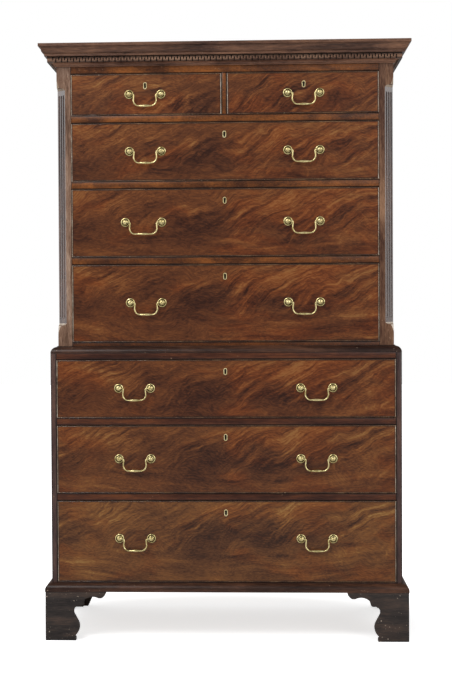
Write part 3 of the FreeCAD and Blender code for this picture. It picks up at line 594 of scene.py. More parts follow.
CANT, ARRIS, FLAT = 0.026, 0.0014, 0.0001
CANT_FOOT, CANT_HEAD, PLANE_OVER = 0.049, 0.080, 0.01
TONGUE, TONGUE_DEPTH, TONGUE_SWEEP, SHOULDER, SHOULDER_ROUND = 0.034, 0.006, 0.110, 0.007, 0.014
FLUTE, FLUTE_DEPTH, FLUTE_PITCH, FLUTE_MARGIN = 0.004, 0.0026, 0.0105, 0.014
posts_low, posts_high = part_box("canted_corners")
POST = posts_high.y - posts_low.y
# The left post darkens towards its head under the cornice: painted shade.
POST_HEAD_SHADE_HEIGHTS = (posts_high.z - 0.03, posts_high.z - 0.14)
cant_depth = CANT / math.sqrt(2)


def settled(thing):
    """The mesh of an object as its modifiers leave it."""
    return bpy.data.meshes.new_from_object(
        thing.evaluated_get(bpy.context.evaluated_depsgraph_get()))


def carved(base, *tools):
    """A shape with others cut out of it."""
    things = []
    for shape in (base, *tools):
        bmesh.ops.recalc_face_normals(shape, faces=shape.faces)
        things.append(placed("carving", meshed("carving", shape)))
    for cutter in things[1:]:
        modifier = things[0].modifiers.new("cut", "BOOLEAN")
        modifier.operation = "DIFFERENCE"
        modifier.solver = "EXACT"
        modifier.object = cutter
    shape = bmesh.new()
    shape.from_mesh(settled(things[0]))
    for thing in things:
        bpy.data.objects.remove(thing)
    return shape


def flute(shape, foot, head):
    """A bar with round ends about two points, which the scratch tool leaves as its hollow."""
    made = bmesh.ops.create_uvsphere(shape, u_segments=20, v_segments=10, radius=FLUTE)
    for vertex in made["verts"]:
        vertex.co += head if vertex.co.z > FLUTE * 0.01 else foot


def canted_post(side):
    edge = Vector((side * posts_high.x, posts_low.y, 0))
    outward = Vector((side, -1, 0)).normalized()
    along = Vector((1, side, 0)).normalized()

    def spot(out, across, up):
        return edge + outward * out + along * across + Vector((0, 0, up))

    blank = bmesh.new()
    block(blank, edge + Vector((0, 0, posts_low.z)),
          edge + Vector((-side * POST, POST, posts_high.z)))

    low, high = posts_low.z + CANT_FOOT, posts_high.z - CANT_HEAD
    foot, head = low + TONGUE + SHOULDER, high - TONGUE - SHOULDER
    profile = traced([
        (0, low, "right", TONGUE_SWEEP), (-TONGUE_DEPTH, low + TONGUE, "left", SHOULDER_ROUND),
        (-cant_depth, foot), (-cant_depth, head, "left", SHOULDER_ROUND),
        (-TONGUE_DEPTH, high - TONGUE, "right", TONGUE_SWEEP), (0, high), (PLANE_OVER, high),
        (PLANE_OVER, low)])
    plane = bmesh.new()
    pull(plane, profile, lambda out, up: spot(out, -POST, up),
         lambda out, up: spot(out, POST, up))

    flutes = bmesh.new()
    axis = FLUTE - FLUTE_DEPTH - cant_depth
    inset = FLUTE_MARGIN + FLUTE
    for across in (-FLUTE_PITCH, 0, FLUTE_PITCH):
        flute(flutes, spot(axis, across, foot + inset), spot(axis, across, head - inset))
    shape = carved(blank, plane, flutes)
    ease_edges(shape, ARRIS, over=40, under=50, longer_than=1)
    return shape


post_wood = solid_wood("Post mahogany", UPRIGHT, [(68, 43, 33), (107, 76, 57), (146, 110, 84)],
                       WORN_EDGE, knocks=0.9, rough=0.2)
# A paler copy of the post wood for the left post, the side the key lamp lights: painted light, with
# painted shade at its head.
lit_left_post_wood = solid_wood(
    "Left post mahogany, painted lighter", UPRIGHT, [(88, 64, 50), (130, 101, 83), (176, 150, 130)], WORN_EDGE,
    knocks=0.9, rough=0.2, shade_by_height=[POST_HEAD_SHADE_HEIGHTS])
cant_wood = solid_wood("Fluted mahogany", UPRIGHT, [(46, 30, 25), (72, 50, 42), (104, 78, 66)],
                       WORN_EDGE, knocks=1.0, rough=0.14, shine=0.9)
# A pale cream for the eased arris between front and cant: a painted highlight.
arris_highlight_wood = solid_wood(
    "Arris with painted highlight", UPRIGHT, [(132, 106, 82), (172, 150, 126), (216, 200, 180)], (90, 60, 42),
    knocks=0.8, rough=0.1, shine=0.9)
IN_CANT, ON_ARRIS, ON_LIT_LEFT_POST = 1, 2, 3

posts = bmesh.new()
for side in (-1, 1):
    posts.from_mesh(meshed("post", canted_post(side)))
pieces = finished(
    "fluted_corner_posts", posts, [post_wood, cant_wood, arris_highlight_wood, lit_left_post_wood],
    "upper_chest", "mahogany_case", "canted_corners")
for face in pieces.data.polygons:
    side = math.copysign(1, face.center.x)
    to_edge = Vector((side * posts_high.x, posts_low.y, 0)) - face.center
    sunk = (side * to_edge.x - to_edge.y) / math.sqrt(2)
    if sunk > cant_depth - FLAT:
        face.material_index = IN_CANT
    # Faces on the eased arris take the painted highlight.
    elif 0.1 < abs(face.normal.x * face.normal.y) < 0.49:
        face.material_index = ON_ARRIS
    # The left post takes the paler copy: painted light.
    elif side < 0:
        face.material_index = ON_LIT_LEFT_POST


# ------------------------------ cornice
# Astragal, hollow, dentil seat, corona, cyma recta and top fillet, run in mahogany and mitred
# at the two front corners.

ASTRAGAL, ASTRAGAL_ROUND = 0.004, 0.0023
HOLLOW_IN, HOLLOW_OUT, HOLLOW_ROUND = 0.0055, 0.018, 0.013
SEAT_OUT, SEAT_FOOT, SEAT_HEAD = 0.020, 0.011, 0.029
CORONA_OUT, CORONA_HEAD = 0.033, 0.0365
CYMA_IN, CYMA_OUT, CYMA_HEAD, CYMA_ROUND = 0.035, 0.048, 0.057, 0.011
FILLET_OUT, CORNICE_HEIGHT = 0.050, 0.066
cornice_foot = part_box("cornice")[0].z
upper_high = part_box("upper_sides")[1]
cornice_section = traced([
    (0, 0), (ASTRAGAL, 0, "right", ASTRAGAL_ROUND), (ASTRAGAL, ASTRAGAL),
    (HOLLOW_IN, ASTRAGAL, "left", HOLLOW_ROUND), (HOLLOW_OUT, SEAT_FOOT), (SEAT_OUT, SEAT_FOOT),
    (SEAT_OUT, SEAT_HEAD), (CORONA_OUT, SEAT_HEAD), (CORONA_OUT, CORONA_HEAD),
    (CYMA_IN, CORONA_HEAD, "right", CYMA_ROUND),
    ((CYMA_IN + CYMA_OUT) / 2, (CORONA_HEAD + CYMA_HEAD) / 2, "left", CYMA_ROUND),
    (CYMA_OUT, CYMA_HEAD), (FILLET_OUT, CYMA_HEAD), (FILLET_OUT, CORNICE_HEIGHT),
    (0, CORNICE_HEIGHT)])
OLD_POLISH = (170, 150, 130)
cornice_wood = solid_wood("Cornice mahogany", LEVEL, [(52, 34, 27), (92, 64, 50), (126, 90, 68)],
                          OLD_POLISH, knocks=0.6, rough=0.26)
# Near black for the seat seen through the key pattern's cuts: painted shade.
key_slot_shade = solid_wood("Painted shade behind the key pattern", LEVEL, [(18, 11, 9), (26, 16, 12), (36, 24, 18)],
                      (60, 44, 34), knocks=0.3, rough=0.6)
unpolished = solid_wood("Unpolished mahogany", LEVEL, [(58, 42, 34), (84, 62, 48), (104, 80, 62)],
                        (120, 100, 82), knocks=0.6, rough=0.75, shine=0.1)
# A lighter copy of the cornice wood for the front of the hollow under the seat: painted light
# against the shade in the hollow.
lit_bed_wood = solid_wood("Bed mould mahogany, painted lighter", LEVEL, [(66, 43, 34), (112, 78, 62), (148, 108, 84)],
                      OLD_POLISH, knocks=0.6, rough=0.26)
IN_SEAT, ON_UNPOLISHED, ON_LIT_BED = 1, 2, 3

lengths = finished(
    "cornice_lengths",
    mitred_runs(cornice_section, upper_high.x, posts_low.y, upper_high.y, cornice_foot),
    [cornice_wood, key_slot_shade, unpolished, lit_bed_wood], "upper_chest", "mahogany_dark", "cornice")
for face in lengths.data.polygons:
    out = max(abs(face.center.x) - upper_high.x, posts_low.y - face.center.y)
    up = face.center.z - cornice_foot
    on_side = abs(face.normal.x) > abs(face.normal.y)
    # The seat behind the cuts takes the painted shade.
    if abs(out - SEAT_OUT) < 2 * MOULDING_EASED and SEAT_FOOT < up < SEAT_HEAD:
        face.material_index = IN_SEAT
    elif face.normal.z > 0.9 and up > CYMA_HEAD:
        face.material_index = ON_UNPOLISHED
    # Under the seat the front faces take the lighter copy: painted light.
    elif 0 < up < SEAT_FOOT:
        face.material_index = ON_UNPOLISHED if on_side else ON_LIT_BED


# ------------------------------ key dentil band
# A strip of mahogany sawn from above and from below in turn, so that the saw cuts leave a key
# pattern, bent on to the seat of the cornice and mitred at its corners.

PITCH, CUT_WIDTH, CUT_LENGTH, STRIP, LESS_SHADE_AT_FOOT = 0.0091, 0.0036, 0.012, 0.005, 0.002
band_low, band_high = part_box("key_dentil_band")
band_height = band_high.z - band_low.z


def vector(tree, x, y, z):
    return result(add(tree, "ShaderNodeCombineXYZ", X=x, Y=y, Z=z))


def key_pattern_tree():
    """Uprights at one pitch, joined below and above in turn."""
    tree = bpy.data.node_groups.new("Key pattern", "GeometryNodeTree")
    sockets = {"Uprights": "Int", "Pitch": "Float", "Cut Width": "Float", "Cut Length": "Float",
               "Height": "Float", "Thickness": "Float", "Wood": "Material"}
    for label, kind in sockets.items():
        tree.interface.new_socket(label, in_out="INPUT", socket_type="NodeSocket" + kind)
    tree.interface.new_socket("Geometry", in_out="OUTPUT", socket_type="NodeSocketGeometry")
    start = tree.nodes.new("NodeGroupInput")
    uprights, pitch, width, cut, height, thick, wood = [result(start, label) for label in sockets]

    def row(count, spacing, start_x, start_z, size_x, size_z):
        line = add(tree, "GeometryNodeMeshLine", Count=count,
                   Start_Location=vector(tree, start_x, 0.0, start_z),
                   Offset=vector(tree, spacing, 0.0, 0.0))
        cube = add(tree, "GeometryNodeMeshCube", Size=vector(tree, size_x, thick, size_z))
        return result(add(tree, "GeometryNodeInstanceOnPoints", Points=result(line),
                          Instance=result(cube)))

    link = height - cut
    pairs = (uprights + 1) * 0.5
    joined = tree.nodes.new("GeometryNodeJoinGeometry")
    for part in (row(uprights, pitch, (pitch + width) * 0.5, height * 0.5, pitch - width, height),
                 row(pairs, pitch * 2, width * 0.5, link * 0.5, width, link),
                 row(pairs, pitch * 2, width * 0.5 + pitch, height - link * 0.5, width, link)):
        feed(joined.inputs["Geometry"], part)
    real = add(tree, "GeometryNodeRealizeInstances", Geometry=result(joined))
    wooden = add(tree, "GeometryNodeSetMaterial", Geometry=result(real), Material=wood)
    feed(tree.nodes.new("NodeGroupOutput").inputs["Geometry"], result(wooden))
    return tree


key_pattern = key_pattern_tree()
# The band darkens near its top and bottom, over the links of the key pattern: painted shade.
band_wood = solid_wood(
    "Key band mahogany", LEVEL, [(84, 58, 45), (118, 88, 70), (146, 114, 92)], (176, 152, 128),
    knocks=0.6, rough=0.3, shine=0.2, edge_dirt_and_shade=0.0105)


def sawn_strip(uprights):
    """A straight length of the key pattern from the start of its first cut."""
    carrier = placed("strip", bpy.data.meshes.new("strip"))
    modifier = carrier.modifiers.new("keys", "NODES")
    modifier.node_group = key_pattern
    values = {"Uprights": uprights, "Pitch": PITCH, "Cut Width": CUT_WIDTH,
              "Cut Length": CUT_LENGTH, "Height": band_height, "Thickness": STRIP,
              "Wood": band_wood}
    for item in key_pattern.interface.items_tree:
        if item.in_out == "INPUT":
            modifier[item.identifier] = values[item.name]
    made = settled(carrier)
    bpy.data.objects.remove(carrier)
    return made


def key_band():
    shape = bmesh.new()
    seat_x, seat_y, foot = upper_high.x + SEAT_OUT, posts_low.y - SEAT_OUT, band_low.z
    section = [(0, 0), (STRIP, 0), (STRIP, band_height), (0, band_height)]

    def strip(run, start, turn):
        """Puts one sawn length from start, and gives the places of its two ends."""
        pairs = math.floor(run / (2 * PITCH))
        first = (run - pairs * 2 * PITCH) / 2 + (PITCH - CUT_WIDTH) / 2
        mesh = sawn_strip(2 * pairs - 1)
        mesh.transform(Matrix.Translation(start) @ Matrix.Rotation(turn, 4, "Z") @
                       Matrix.Translation((first, -STRIP / 2, 0)))
        shape.from_mesh(mesh)
        return first, first + (2 * pairs - 1) * PITCH + CUT_WIDTH

    left, right = strip(2 * seat_x, Vector((-seat_x, seat_y, foot)), 0)
    side_run = upper_high.y - seat_y
    for side, front_stop in ((-1, left - seat_x), (1, right - seat_x)):
        corner = mitre(side, seat_x, seat_y, foot)
        pull(shape, section, corner, lambda out, up: (front_stop, seat_y - out, foot + up))
        if side > 0:
            near, far = strip(side_run, Vector((seat_x, seat_y, foot)), math.pi / 2)
        else:
            start, end = strip(side_run, Vector((-seat_x, upper_high.y, foot)), -math.pi / 2)
            near, far = side_run - end, side_run - start
        pull(shape, section, corner, squared(side, seat_x, seat_y + near, foot))
        pull(shape, section, squared(side, seat_x, upper_high.y, foot),
             squared(side, seat_x, seat_y + far, foot))
    return shape


band = finished("key_dentils", key_band(), [band_wood], "upper_chest", "mahogany_dark",
                "key_dentil_band")
heights = [vertex.co.z - band_low.z for vertex in band.data.vertices]
# Distances to the top and bottom of the band, for the painted shade there, which starts a little
# below its foot.
keep(band.data, "sides", [(1, 1, 0)] * len(heights))
keep(band.data, "ends", [(height + LESS_SHADE_AT_FOOT, band_height - height, 0) for height in heights])


# ------------------------------ drawer fronts
# Oak fronts faced with crotch mahogany.  All the leaves come from one log in turn, so the same
# flame shows on every front.  A half-round mahogany bead is set in a rebate round each edge.

ROWS = ("lower_bottom", "lower_middle", "lower_top", "upper_bottom", "upper_middle",
        "upper_top", "short_left", "short_right")
BEAD, BEAD_PROUD, BEAD_ROOT = 0.003, 0.0015, 0.006
KEYHOLE_DROP, KEYHOLE_WIDTH, KEYHOLE_HEIGHT = 0.0368, 0.0078, 0.0165
TRUNK_HEAD, TRUNK_SAG, SAG_MIDDLE = -0.140, 0.15, 0.12
PLUME_LEAN, PLUME_BEND = math.radians(44), 3.4
FADED = {"lower_bottom": 1.0, "lower_middle": 0.3, "short_left": 0.15, "upper_top": 0.1}
HEART, HEART_REACH = (0.06, -0.11, 0), (0.40, 0.09, 1)
LEAF_STEP = 0.12


def swirled(position, size, reach):
    """A position carried about by eddies of this size."""
    noise = add(position.tree, "ShaderNodeTexNoise", Vector=position, Scale=1 / size, Detail=2.0)
    centred = calc("SUBTRACT", result(noise, "Color"), (0.5, 0.5, 0.5), kind="ShaderNodeVectorMath")
    return calc("MULTIPLY_ADD", centred, (reach, reach, 0), position, kind="ShaderNodeVectorMath")


def sized(position):
    return calc("LENGTH", position, kind="ShaderNodeVectorMath", gives="Value")


def between(factor, low, high):
    return result(add(tree_of(factor, low, high), "ShaderNodeMix", Factor=factor, A=low, B=high))


def streaks(along, across, leaf):
    """Broad streaks that run one way, and fine ones among them."""
    run = vector(along.tree, along, across, leaf)
    return (cloud(run, 1.0, 4, 0.58, 0.3),
            cloud(stretched(run, (2.5, 3.4, 1)), 1.0, 3, 0.6))


def crotch_figure(position):
    """Wood sawn through a crotch.  Level trunk grain lies along the foot of a leaf, plumes
    rise and bend over to the right above it, and a dark heart lies where they meet.  The
    position is (across, down from the head of the leaf, which leaf)."""
    across, down, leaf = axes(swirled(position, 0.20, 0.05))
    offset = across - SAG_MIDDLE
    depth = down - offset * offset * TRUNK_SAG
    trunk_broad, trunk_fine = streaks(offset * 3, depth * 44, leaf)

    bent = swirled(swirled(position, 0.15, 0.085), 0.028, 0.010)
    across, down, leaf = axes(bent)
    rise = down - TRUNK_HEAD
    along = across * math.cos(PLUME_LEAN) + rise * math.sin(PLUME_LEAN)
    over = rise * math.cos(PLUME_LEAN) - across * math.sin(PLUME_LEAN) + rise * rise * PLUME_BEND
    plume_broad, plume_fine = streaks(along * 7, over * 38, leaf)

    fringe = rise + (plume_broad - 0.5) * 0.16
    above = step_up(fringe, -0.03, 0.03)
    crown = step_up(fringe, 0.03, 0.13)
    broad = between(above, trunk_broad, plume_broad)
    fine = between(above, between(0.45, trunk_fine, 0.5), plume_fine)
    away = add(position.tree, "ShaderNodeMapping", Vector=bent,
               Location=[-centre / reach for centre, reach in zip(HEART, HEART_REACH)],
               Scale=[1 / reach for reach in HEART_REACH[:2]] + [0])
    heart = 1 - step_up(sized(result(away)), 0.1, 1.1)
    blotches = cloud(stretched(bent, (6, 14, 1)), 1.0, 4, 0.6)
    lively = 0.35 + step_up(cloud(stretched(bent, (7, 12, 1)), 1.0, 2, 0.5), 0.36, 0.64)
    pores = cloud(stretched(bent, (90, 300, 1)), 1.0, 3, 0.6)
    tone = (0.47 + (broad - 0.5) * (lively * 1.25) + (fine - 0.5) * (lively * 0.85) +
            (blotches - 0.5) * 1.15 - heart * 0.20 + crown * 0.12 + (pores - 0.5))
    red = step_up(cloud(stretched(bent, (5, 12, 1)), 1.0, 3, 0.6), 0.46, 0.66)
    return tone, fine, red


crotch_group = shader_group("Crotch Figure", {"Position": None}, ["Tone", "Fibres", "Red"],
                            crotch_figure)
CROTCH_TONES = [(44, 23, 16), (62, 33, 21), (79, 44, 26), (95, 54, 30), (110, 64, 34),
                (124, 76, 40), (138, 94, 53)]
CROTCH_STOPS = (0.0, 0.17, 0.33, 0.5, 0.67, 0.83, 1.0)
RED_TINT, FADED_TINT = (1.06, 0.80, 0.66, 1), (1.18, 1.42, 1.40, 1)


def crotch_wood():
    """French polish over crotch mahogany, from near black through red-brown to amber.  The
    light has faded some fronts to a duller, greener brown."""
    material, tree, shader = new_material("Crotch mahogany")
    shader.inputs["Specular IOR Level"].default_value = 0.22
    figure = use_group(tree, crotch_group, Position=kept(tree, "leaf"))
    colour = shades(figure["Tone"], *[(place, paint(*tone))
                                      for place, tone in zip(CROTCH_STOPS, CROTCH_TONES)])
    colour = blend(figure["Red"] * 0.7, colour, RED_TINT, "MULTIPLY")
    colour = blend(kept(tree, "faded", "Fac"), colour, FADED_TINT, "MULTIPLY")
    # The veneer darkens next to its bead: dirt in the quirk and painted shade of the gap.
    edge_dirt_and_shade = use_group(tree, edge_dirt_and_shade_group, Width=0.003)["Grime"]
    colour = blend(edge_dirt_and_shade * 0.7, colour, paint(34, 20, 14))
    surface(shader, colour, 0.26 + figure["Fibres"] * 0.14, figure["Fibres"], 0.06, 0.0004)
    return material


crotch_mahogany = crotch_wood()
EVEN = (6, 6, 6)
# The bead darkens at both its edges: painted shade of the gap and of the quirk.
bead_wood = solid_wood(
    "Bead mahogany", EVEN, [(64, 42, 32), (98, 68, 48), (146, 112, 80)], (206, 180, 146),
    knocks=1.0, rough=0.12, shine=0.8, edge_dirt_and_shade=0.0011)
# A paler copy of the bead wood for the upright strips: a painted highlight.
upright_bead_highlight_wood = solid_wood(
    "Upright bead mahogany, painted highlight", EVEN, [(98, 78, 62), (156, 134, 112), (206, 190, 170)], (60, 40, 30),
    knocks=0.7, rough=0.1, shine=1.0, edge_dirt_and_shade=0.0011)


def faced_board(shape, low, high, hole_low, hole_high):
    """A board with one square hole through it from front to back."""
    xs = (low.x, hole_low.x, hole_high.x, high.x)
    zs = (low.z, hole_low.z, hole_high.z, high.z)
    front, back = [{(i, j): shape.verts.new((x, y, z)) for i, x in enumerate(xs)
                    for j, z in enumerate(zs)} for y in (low.y, high.y)]
    solid = [(i, j) for i in range(3) for j in range(3) if (i, j) != (1, 1)]
    for i, j in solid:
        ring = [(i, j), (i + 1, j), (i + 1, j + 1), (i, j + 1)]
        beside = [(i, j - 1), (i + 1, j), (i, j + 1), (i - 1, j)]
        for layer in (front, back):
            shape.faces.new([layer[at] for at in ring])
        for (start, end), cell in zip(around(ring), beside):
            if cell not in solid:
                shape.faces.new((front[start], front[end], back[end], back[start]))


bead_section = traced([(BEAD, -BEAD_ROOT), (BEAD, 0, "left", BEAD / 2), (0, 0),
                       (0, -BEAD_ROOT)], steps=8)


def bead_round(shape, low, high, face):
    """Four bead strips, mitred at the corners of a front; the upright ones take a paler material, a
    painted highlight.
    """
    def corner(x, z, inward_x, inward_z):
        return lambda across, out: (x + inward_x * across, face - out, z + inward_z * across)
    corners = [corner(low.x, low.z, 1, 1), corner(high.x, low.z, -1, 1),
               corner(high.x, high.z, -1, -1), corner(low.x, high.z, 1, -1)]
    for near, far in around(corners):
        pull(shape, bead_section, near, far)
    # The upright strips take the second material, the painted highlight.
    for index, side in enumerate(shape.faces):
        side.material_index = index // (len(bead_section) + 2) % 2


def front_of(row):
    """The corners of a drawer's front, the plane of its face and the middle of its keyhole."""
    low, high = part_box(row + "_drawer_front")
    bolt_low, bolt_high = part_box(row + "_lock_bolt")
    face = low.y + BEAD_PROUD
    return low, high, face, Vector(((bolt_low.x + bolt_high.x) / 2, face, high.z - KEYHOLE_DROP))


for leaf, row in enumerate(ROWS):
    low, high, face, keyhole = front_of(row)
    half_hole = Vector((KEYHOLE_WIDTH / 2, 0, KEYHOLE_HEIGHT / 2))
    board = bmesh.new()
    faced_board(board, Vector((low.x + BEAD, face, low.z + BEAD)),
                Vector((high.x - BEAD, high.y, high.z - BEAD)),
                keyhole - half_hole, keyhole + half_hole)
    veneered = finished(row + "_veneered_front", board, [crotch_mahogany], row + "_drawer",
                        "mahogany_front", row + "_drawer_front")
    spots = [vertex.co for vertex in veneered.data.vertices]
    keep(veneered.data, "leaf", [(spot.x, spot.z - high.z, LEAF_STEP * leaf) for spot in spots])
    keep(veneered.data, "faded", [FADED.get(row, 0.0)] * len(spots))
    keep_margins(veneered)
    beads = bmesh.new()
    bead_round(beads, low, high, face)
    strips = finished(row + "_cockbeads", beads, [bead_wood, upright_bead_highlight_wood], row + "_drawer",
                      "mahogany_front")
    count = len(strips.data.vertices)
    # Distances across the bead from its edges, for the painted shade at its edges.
    keep(strips.data, "sides", [(across, BEAD - across, 0) for across, _ in bead_section] *
         (count // len(bead_section)))
    keep(strips.data, "ends", [(1, 1, 0)] * count)


# ------------------------------ drawer boxes
# Quarter-sawn oak linings, left as they were planed: two sides, a back, a bottom and the
# runners under it, which have worn smooth.

FRONT_TO_BACK = (4, 1, 11)
oak_wood = solid_wood(
    "Oak drawer linings", FRONT_TO_BACK, [(128, 92, 56), (160, 122, 78), (186, 150, 104)],
    (110, 78, 48), knocks=0.5, rough=0.55)
for row in ROWS:
    dress(row + "_drawer_box", oak_wood)


# ------------------------------ locks
# An iron lock is screwed to the back of each front.  Its bolt shoots up into the rail above,
# and a brass liner edges the keyhole.

def metal(name, colour, dull, rough, patch, bare=1.0):
    """Worn metal, duller in its patches and darker where the mesh marks it: tarnish in its hollows,
    and dirt and painted shade at the feet of roses and post heads; bare is how little old lacquer
    covers it."""
    material, tree, shader = new_material(name)
    shader.inputs["Metallic"].default_value = bare
    place = object_place(tree)
    tarnish = cloud(place, patch, 3, 0.6)
    scratches = cloud(stretched(place, (1, 1, 6)), patch / 4, 2, 0.6)
    colour = shades(tarnish, (0.35, paint(*dull)), (0.6, paint(*colour)))
    # Darker where marked: tarnish in the hollows, and dirt and painted shade at the feet of roses
    # and post heads.
    colour = blend(kept(tree, "hollow", "Fac"), colour, paint(52, 42, 24))
    surface(shader, colour, rough + (scratches - 0.5) * 0.2, scratches, 0.05, 0.0003)
    return material


iron = metal("Lock iron", (96, 92, 88), (58, 50, 46), rough=0.5, patch=0.02)
brass = metal("Handle brass", (232, 216, 158), (180, 162, 104), rough=0.24, patch=0.012,
              bare=0.65)
liner_brass = metal("Keyhole brass", (240, 226, 176), (196, 178, 124), rough=0.3, patch=0.012,
                    bare=0.3)
LINER_HALF_WIDTH, LINER_HALF_HEIGHT, LINER_PROUD = 0.0055, 0.0105, 0.0008
SLOT_TOP, SLOT_HALF_WIDTH, KEY_ROUND = 0.0080, 0.0027, 0.0037
LOCK_CASE = Vector((0.060, 0.011, 0.045))
BOLT_CLEAR = Vector((0.0003, 0.0003, 0.0003))


def round_steps(count):
    """The cosine and the sine of each step round a circle."""
    turns = [2 * math.pi * step / count for step in range(count)]
    return [(math.cos(turn), math.sin(turn)) for turn in turns]


def keyhole_liner(shape, middle):
    """A plate with round ends, pierced by a keyhole: a round with a slot under it."""
    straight = LINER_HALF_HEIGHT - LINER_HALF_WIDTH
    outer, inner = [], []
    for across, up in round_steps(24):
        end = straight if up >= 0 else -straight
        outer.append((LINER_HALF_WIDTH * across, end + LINER_HALF_WIDTH * up))
        if up >= -0.5:
            inner.append((KEY_ROUND * across, SLOT_TOP - KEY_ROUND + KEY_ROUND * up))
        else:
            inner.append((math.copysign(SLOT_HALF_WIDTH, across), -SLOT_TOP))
    rings = [[shape.verts.new(middle + Vector((across, -out, up))) for across, up in ring]
             for ring, out in ((outer, 0), (outer, LINER_PROUD), (inner, LINER_PROUD), (inner, 0))]
    skin(shape, rings + rings[:1], ends=False)
    bmesh.ops.remove_doubles(shape, verts=shape.verts, dist=1e-6)


for row in ROWS:
    _, high, _, keyhole = front_of(row)
    liner = bmesh.new()
    keyhole_liner(liner, keyhole)
    finished(row + "_keyhole_liner", liner, [liner_brass], row + "_drawer", "brass")
    bolt_low, bolt_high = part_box(row + "_lock_bolt")
    shell = bmesh.new()
    block(shell, (keyhole.x - LOCK_CASE.x / 2, high.y, high.z - LOCK_CASE.z),
          (keyhole.x + LOCK_CASE.x / 2, high.y + LOCK_CASE.y, high.z))
    way = bmesh.new()
    block(way, bolt_low - BOLT_CLEAR, bolt_high + BOLT_CLEAR + Vector((0, 0, LOCK_CASE.z)))
    finished(row + "_lock_case", carved(shell, way), [iron], row + "_drawer", "iron")
    dress(row + "_lock_bolt", iron)


# ------------------------------ roses and posts
# Cast brass roses, turned on their faces, under posts whose shanks pass through the front and
# are held by square nuts inside.

def turned(shape, outline, centre, steps=32):
    """A turned piece whose axis points out of the front.  Its outline is a list of (radius, out,
    how dark) points: tarnish in the grooves, and dirt and painted shade at the feet of rose and
    head."""
    dirt_and_shade_layer = shape.verts.layers.float["hollow"]
    rings = []
    for radius, out, dirt_and_shade in outline:
        rings.append([shape.verts.new((centre.x + radius * across, centre.y - out,
                                       centre.z + radius * up))
                      for across, up in round_steps(steps)])
        for vertex in rings[-1]:
            vertex[dirt_and_shade_layer] = dirt_and_shade
    skin(shape, rings)


# The third number darkens the brass: tarnish in the groove of a rose, and dirt and painted shade at
# the foot of the rose and of the post head.
ROSE_OUTLINE = [
    (0.0140, 0, 1), (0.0140, 0.0008, 1), (0.0136, 0.0020, 0.3), (0.0130, 0.0026, 0),
    (0.0120, 0.0029, 0), (0.0111, 0.0026, 0.1), (0.0103, 0.0019, 0.8), (0.0098, 0.0014, 1),
    (0.0090, 0.0014, 1), (0.0085, 0.0022, 0.5), (0.0078, 0.0034, 0), (0.0068, 0.0042, 0.2),
    (0.0055, 0.0045, 1)]
HEAD_OUTLINE = [
    (0.0050, 0.0044, 1), (0.0046, 0.0060, 1), (0.0046, 0.0072, 0.9), (0.0054, 0.0088, 0.4),
    (0.0061, 0.0108, 0.1), (0.0063, 0.0128, 0), (0.0058, 0.0146, 0), (0.0044, 0.0159, 0),
    (0.0022, 0.0164, 0)]
POST_OVER_BAIL, WIRE_TOP = 0.00163, 0.002
FRONT, NUT, NUT_THICK, SHANK = 0.019, 0.012, 0.004, 0.005


def handles_of(row):
    """Each bail's name with the middle of its pivot and the reach from there to its posts,
    found from the part it stands for."""
    places = []
    for end in [""] if row.startswith("short") else ["_left", "_right"]:
        name = row + "_bail" + end
        low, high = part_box(name)
        pivot = Vector(((low.x + high.x) / 2, (low.y + high.y) / 2, high.z - WIRE_TOP))
        places.append((name, pivot, (high.x - low.x) / 2 + POST_OVER_BAIL))
    return places


for row in ROWS:
    face = front_of(row)[2]
    fittings = bmesh.new()
    fittings.verts.layers.float.new("hollow")
    for name, pivot, reach in handles_of(row):
        for side in (-1, 1):
            centre = Vector((pivot.x + side * reach, face, pivot.z))
            turned(fittings, ROSE_OUTLINE, centre)
            turned(fittings, HEAD_OUTLINE, centre, steps=24)
            for wide, start, end in ((NUT, FRONT, FRONT + NUT_THICK), (SHANK, 0, FRONT)):
                block(fittings, centre + Vector((-wide / 2, start, -wide / 2)),
                      centre + Vector((wide / 2, end, wide / 2)))
    finished(row + "_roses_and_posts", fittings, [brass], row + "_drawer", "brass",
             row + "_drawer_brasses")


# ------------------------------ bails
# Swan-neck bails of cast brass, filed round, with a swelling grip.  Their ends turn in the
# eyes of the posts, and they hang by their own weight.

NECK_INSET, NECK_ROUND, DROP, BOW_ROUND = 0.016, 0.005, 0.0365, 0.017
SPLAY = math.radians(7)
PIN_INSET, WIRE, GRIP, GRIP_HALF = 0.0016, 0.0021, 0.0036, 0.018


def bail_line(reach):
    """Half of the centre line, from the pin to the middle of the grip, with its radius."""
    bend = math.pi / 2 + SPLAY
    neck = reach - NECK_INSET
    pin_end = reach - PIN_INSET
    neck_x = neck + NECK_ROUND * math.tan(bend / 2)
    bow_x = neck + DROP * math.tan(SPLAY) - BOW_ROUND * math.tan(bend / 2)
    points = [(pin_end, 0), ((pin_end + neck_x) / 2, 0)]
    for step in range(9):
        turn = bend * step / 8
        points.append((neck_x - NECK_ROUND * math.sin(turn), NECK_ROUND * (math.cos(turn) - 1)))
    for step in range(11):
        turn = bend * (1 - step / 10)
        points.append((bow_x + BOW_ROUND * math.sin(turn),
                       BOW_ROUND * (1 - math.cos(turn)) - DROP))
    points += [(bow_x * (1 - step / 8), -DROP) for step in range(1, 9)]
    line = []
    for x, z in points:
        share = max(0, 1 - (x / GRIP_HALF) ** 2) if z <= -DROP + 1e-9 else 0
        line.append((x, z, WIRE + (GRIP - WIRE) * share ** 1.5))
    return line


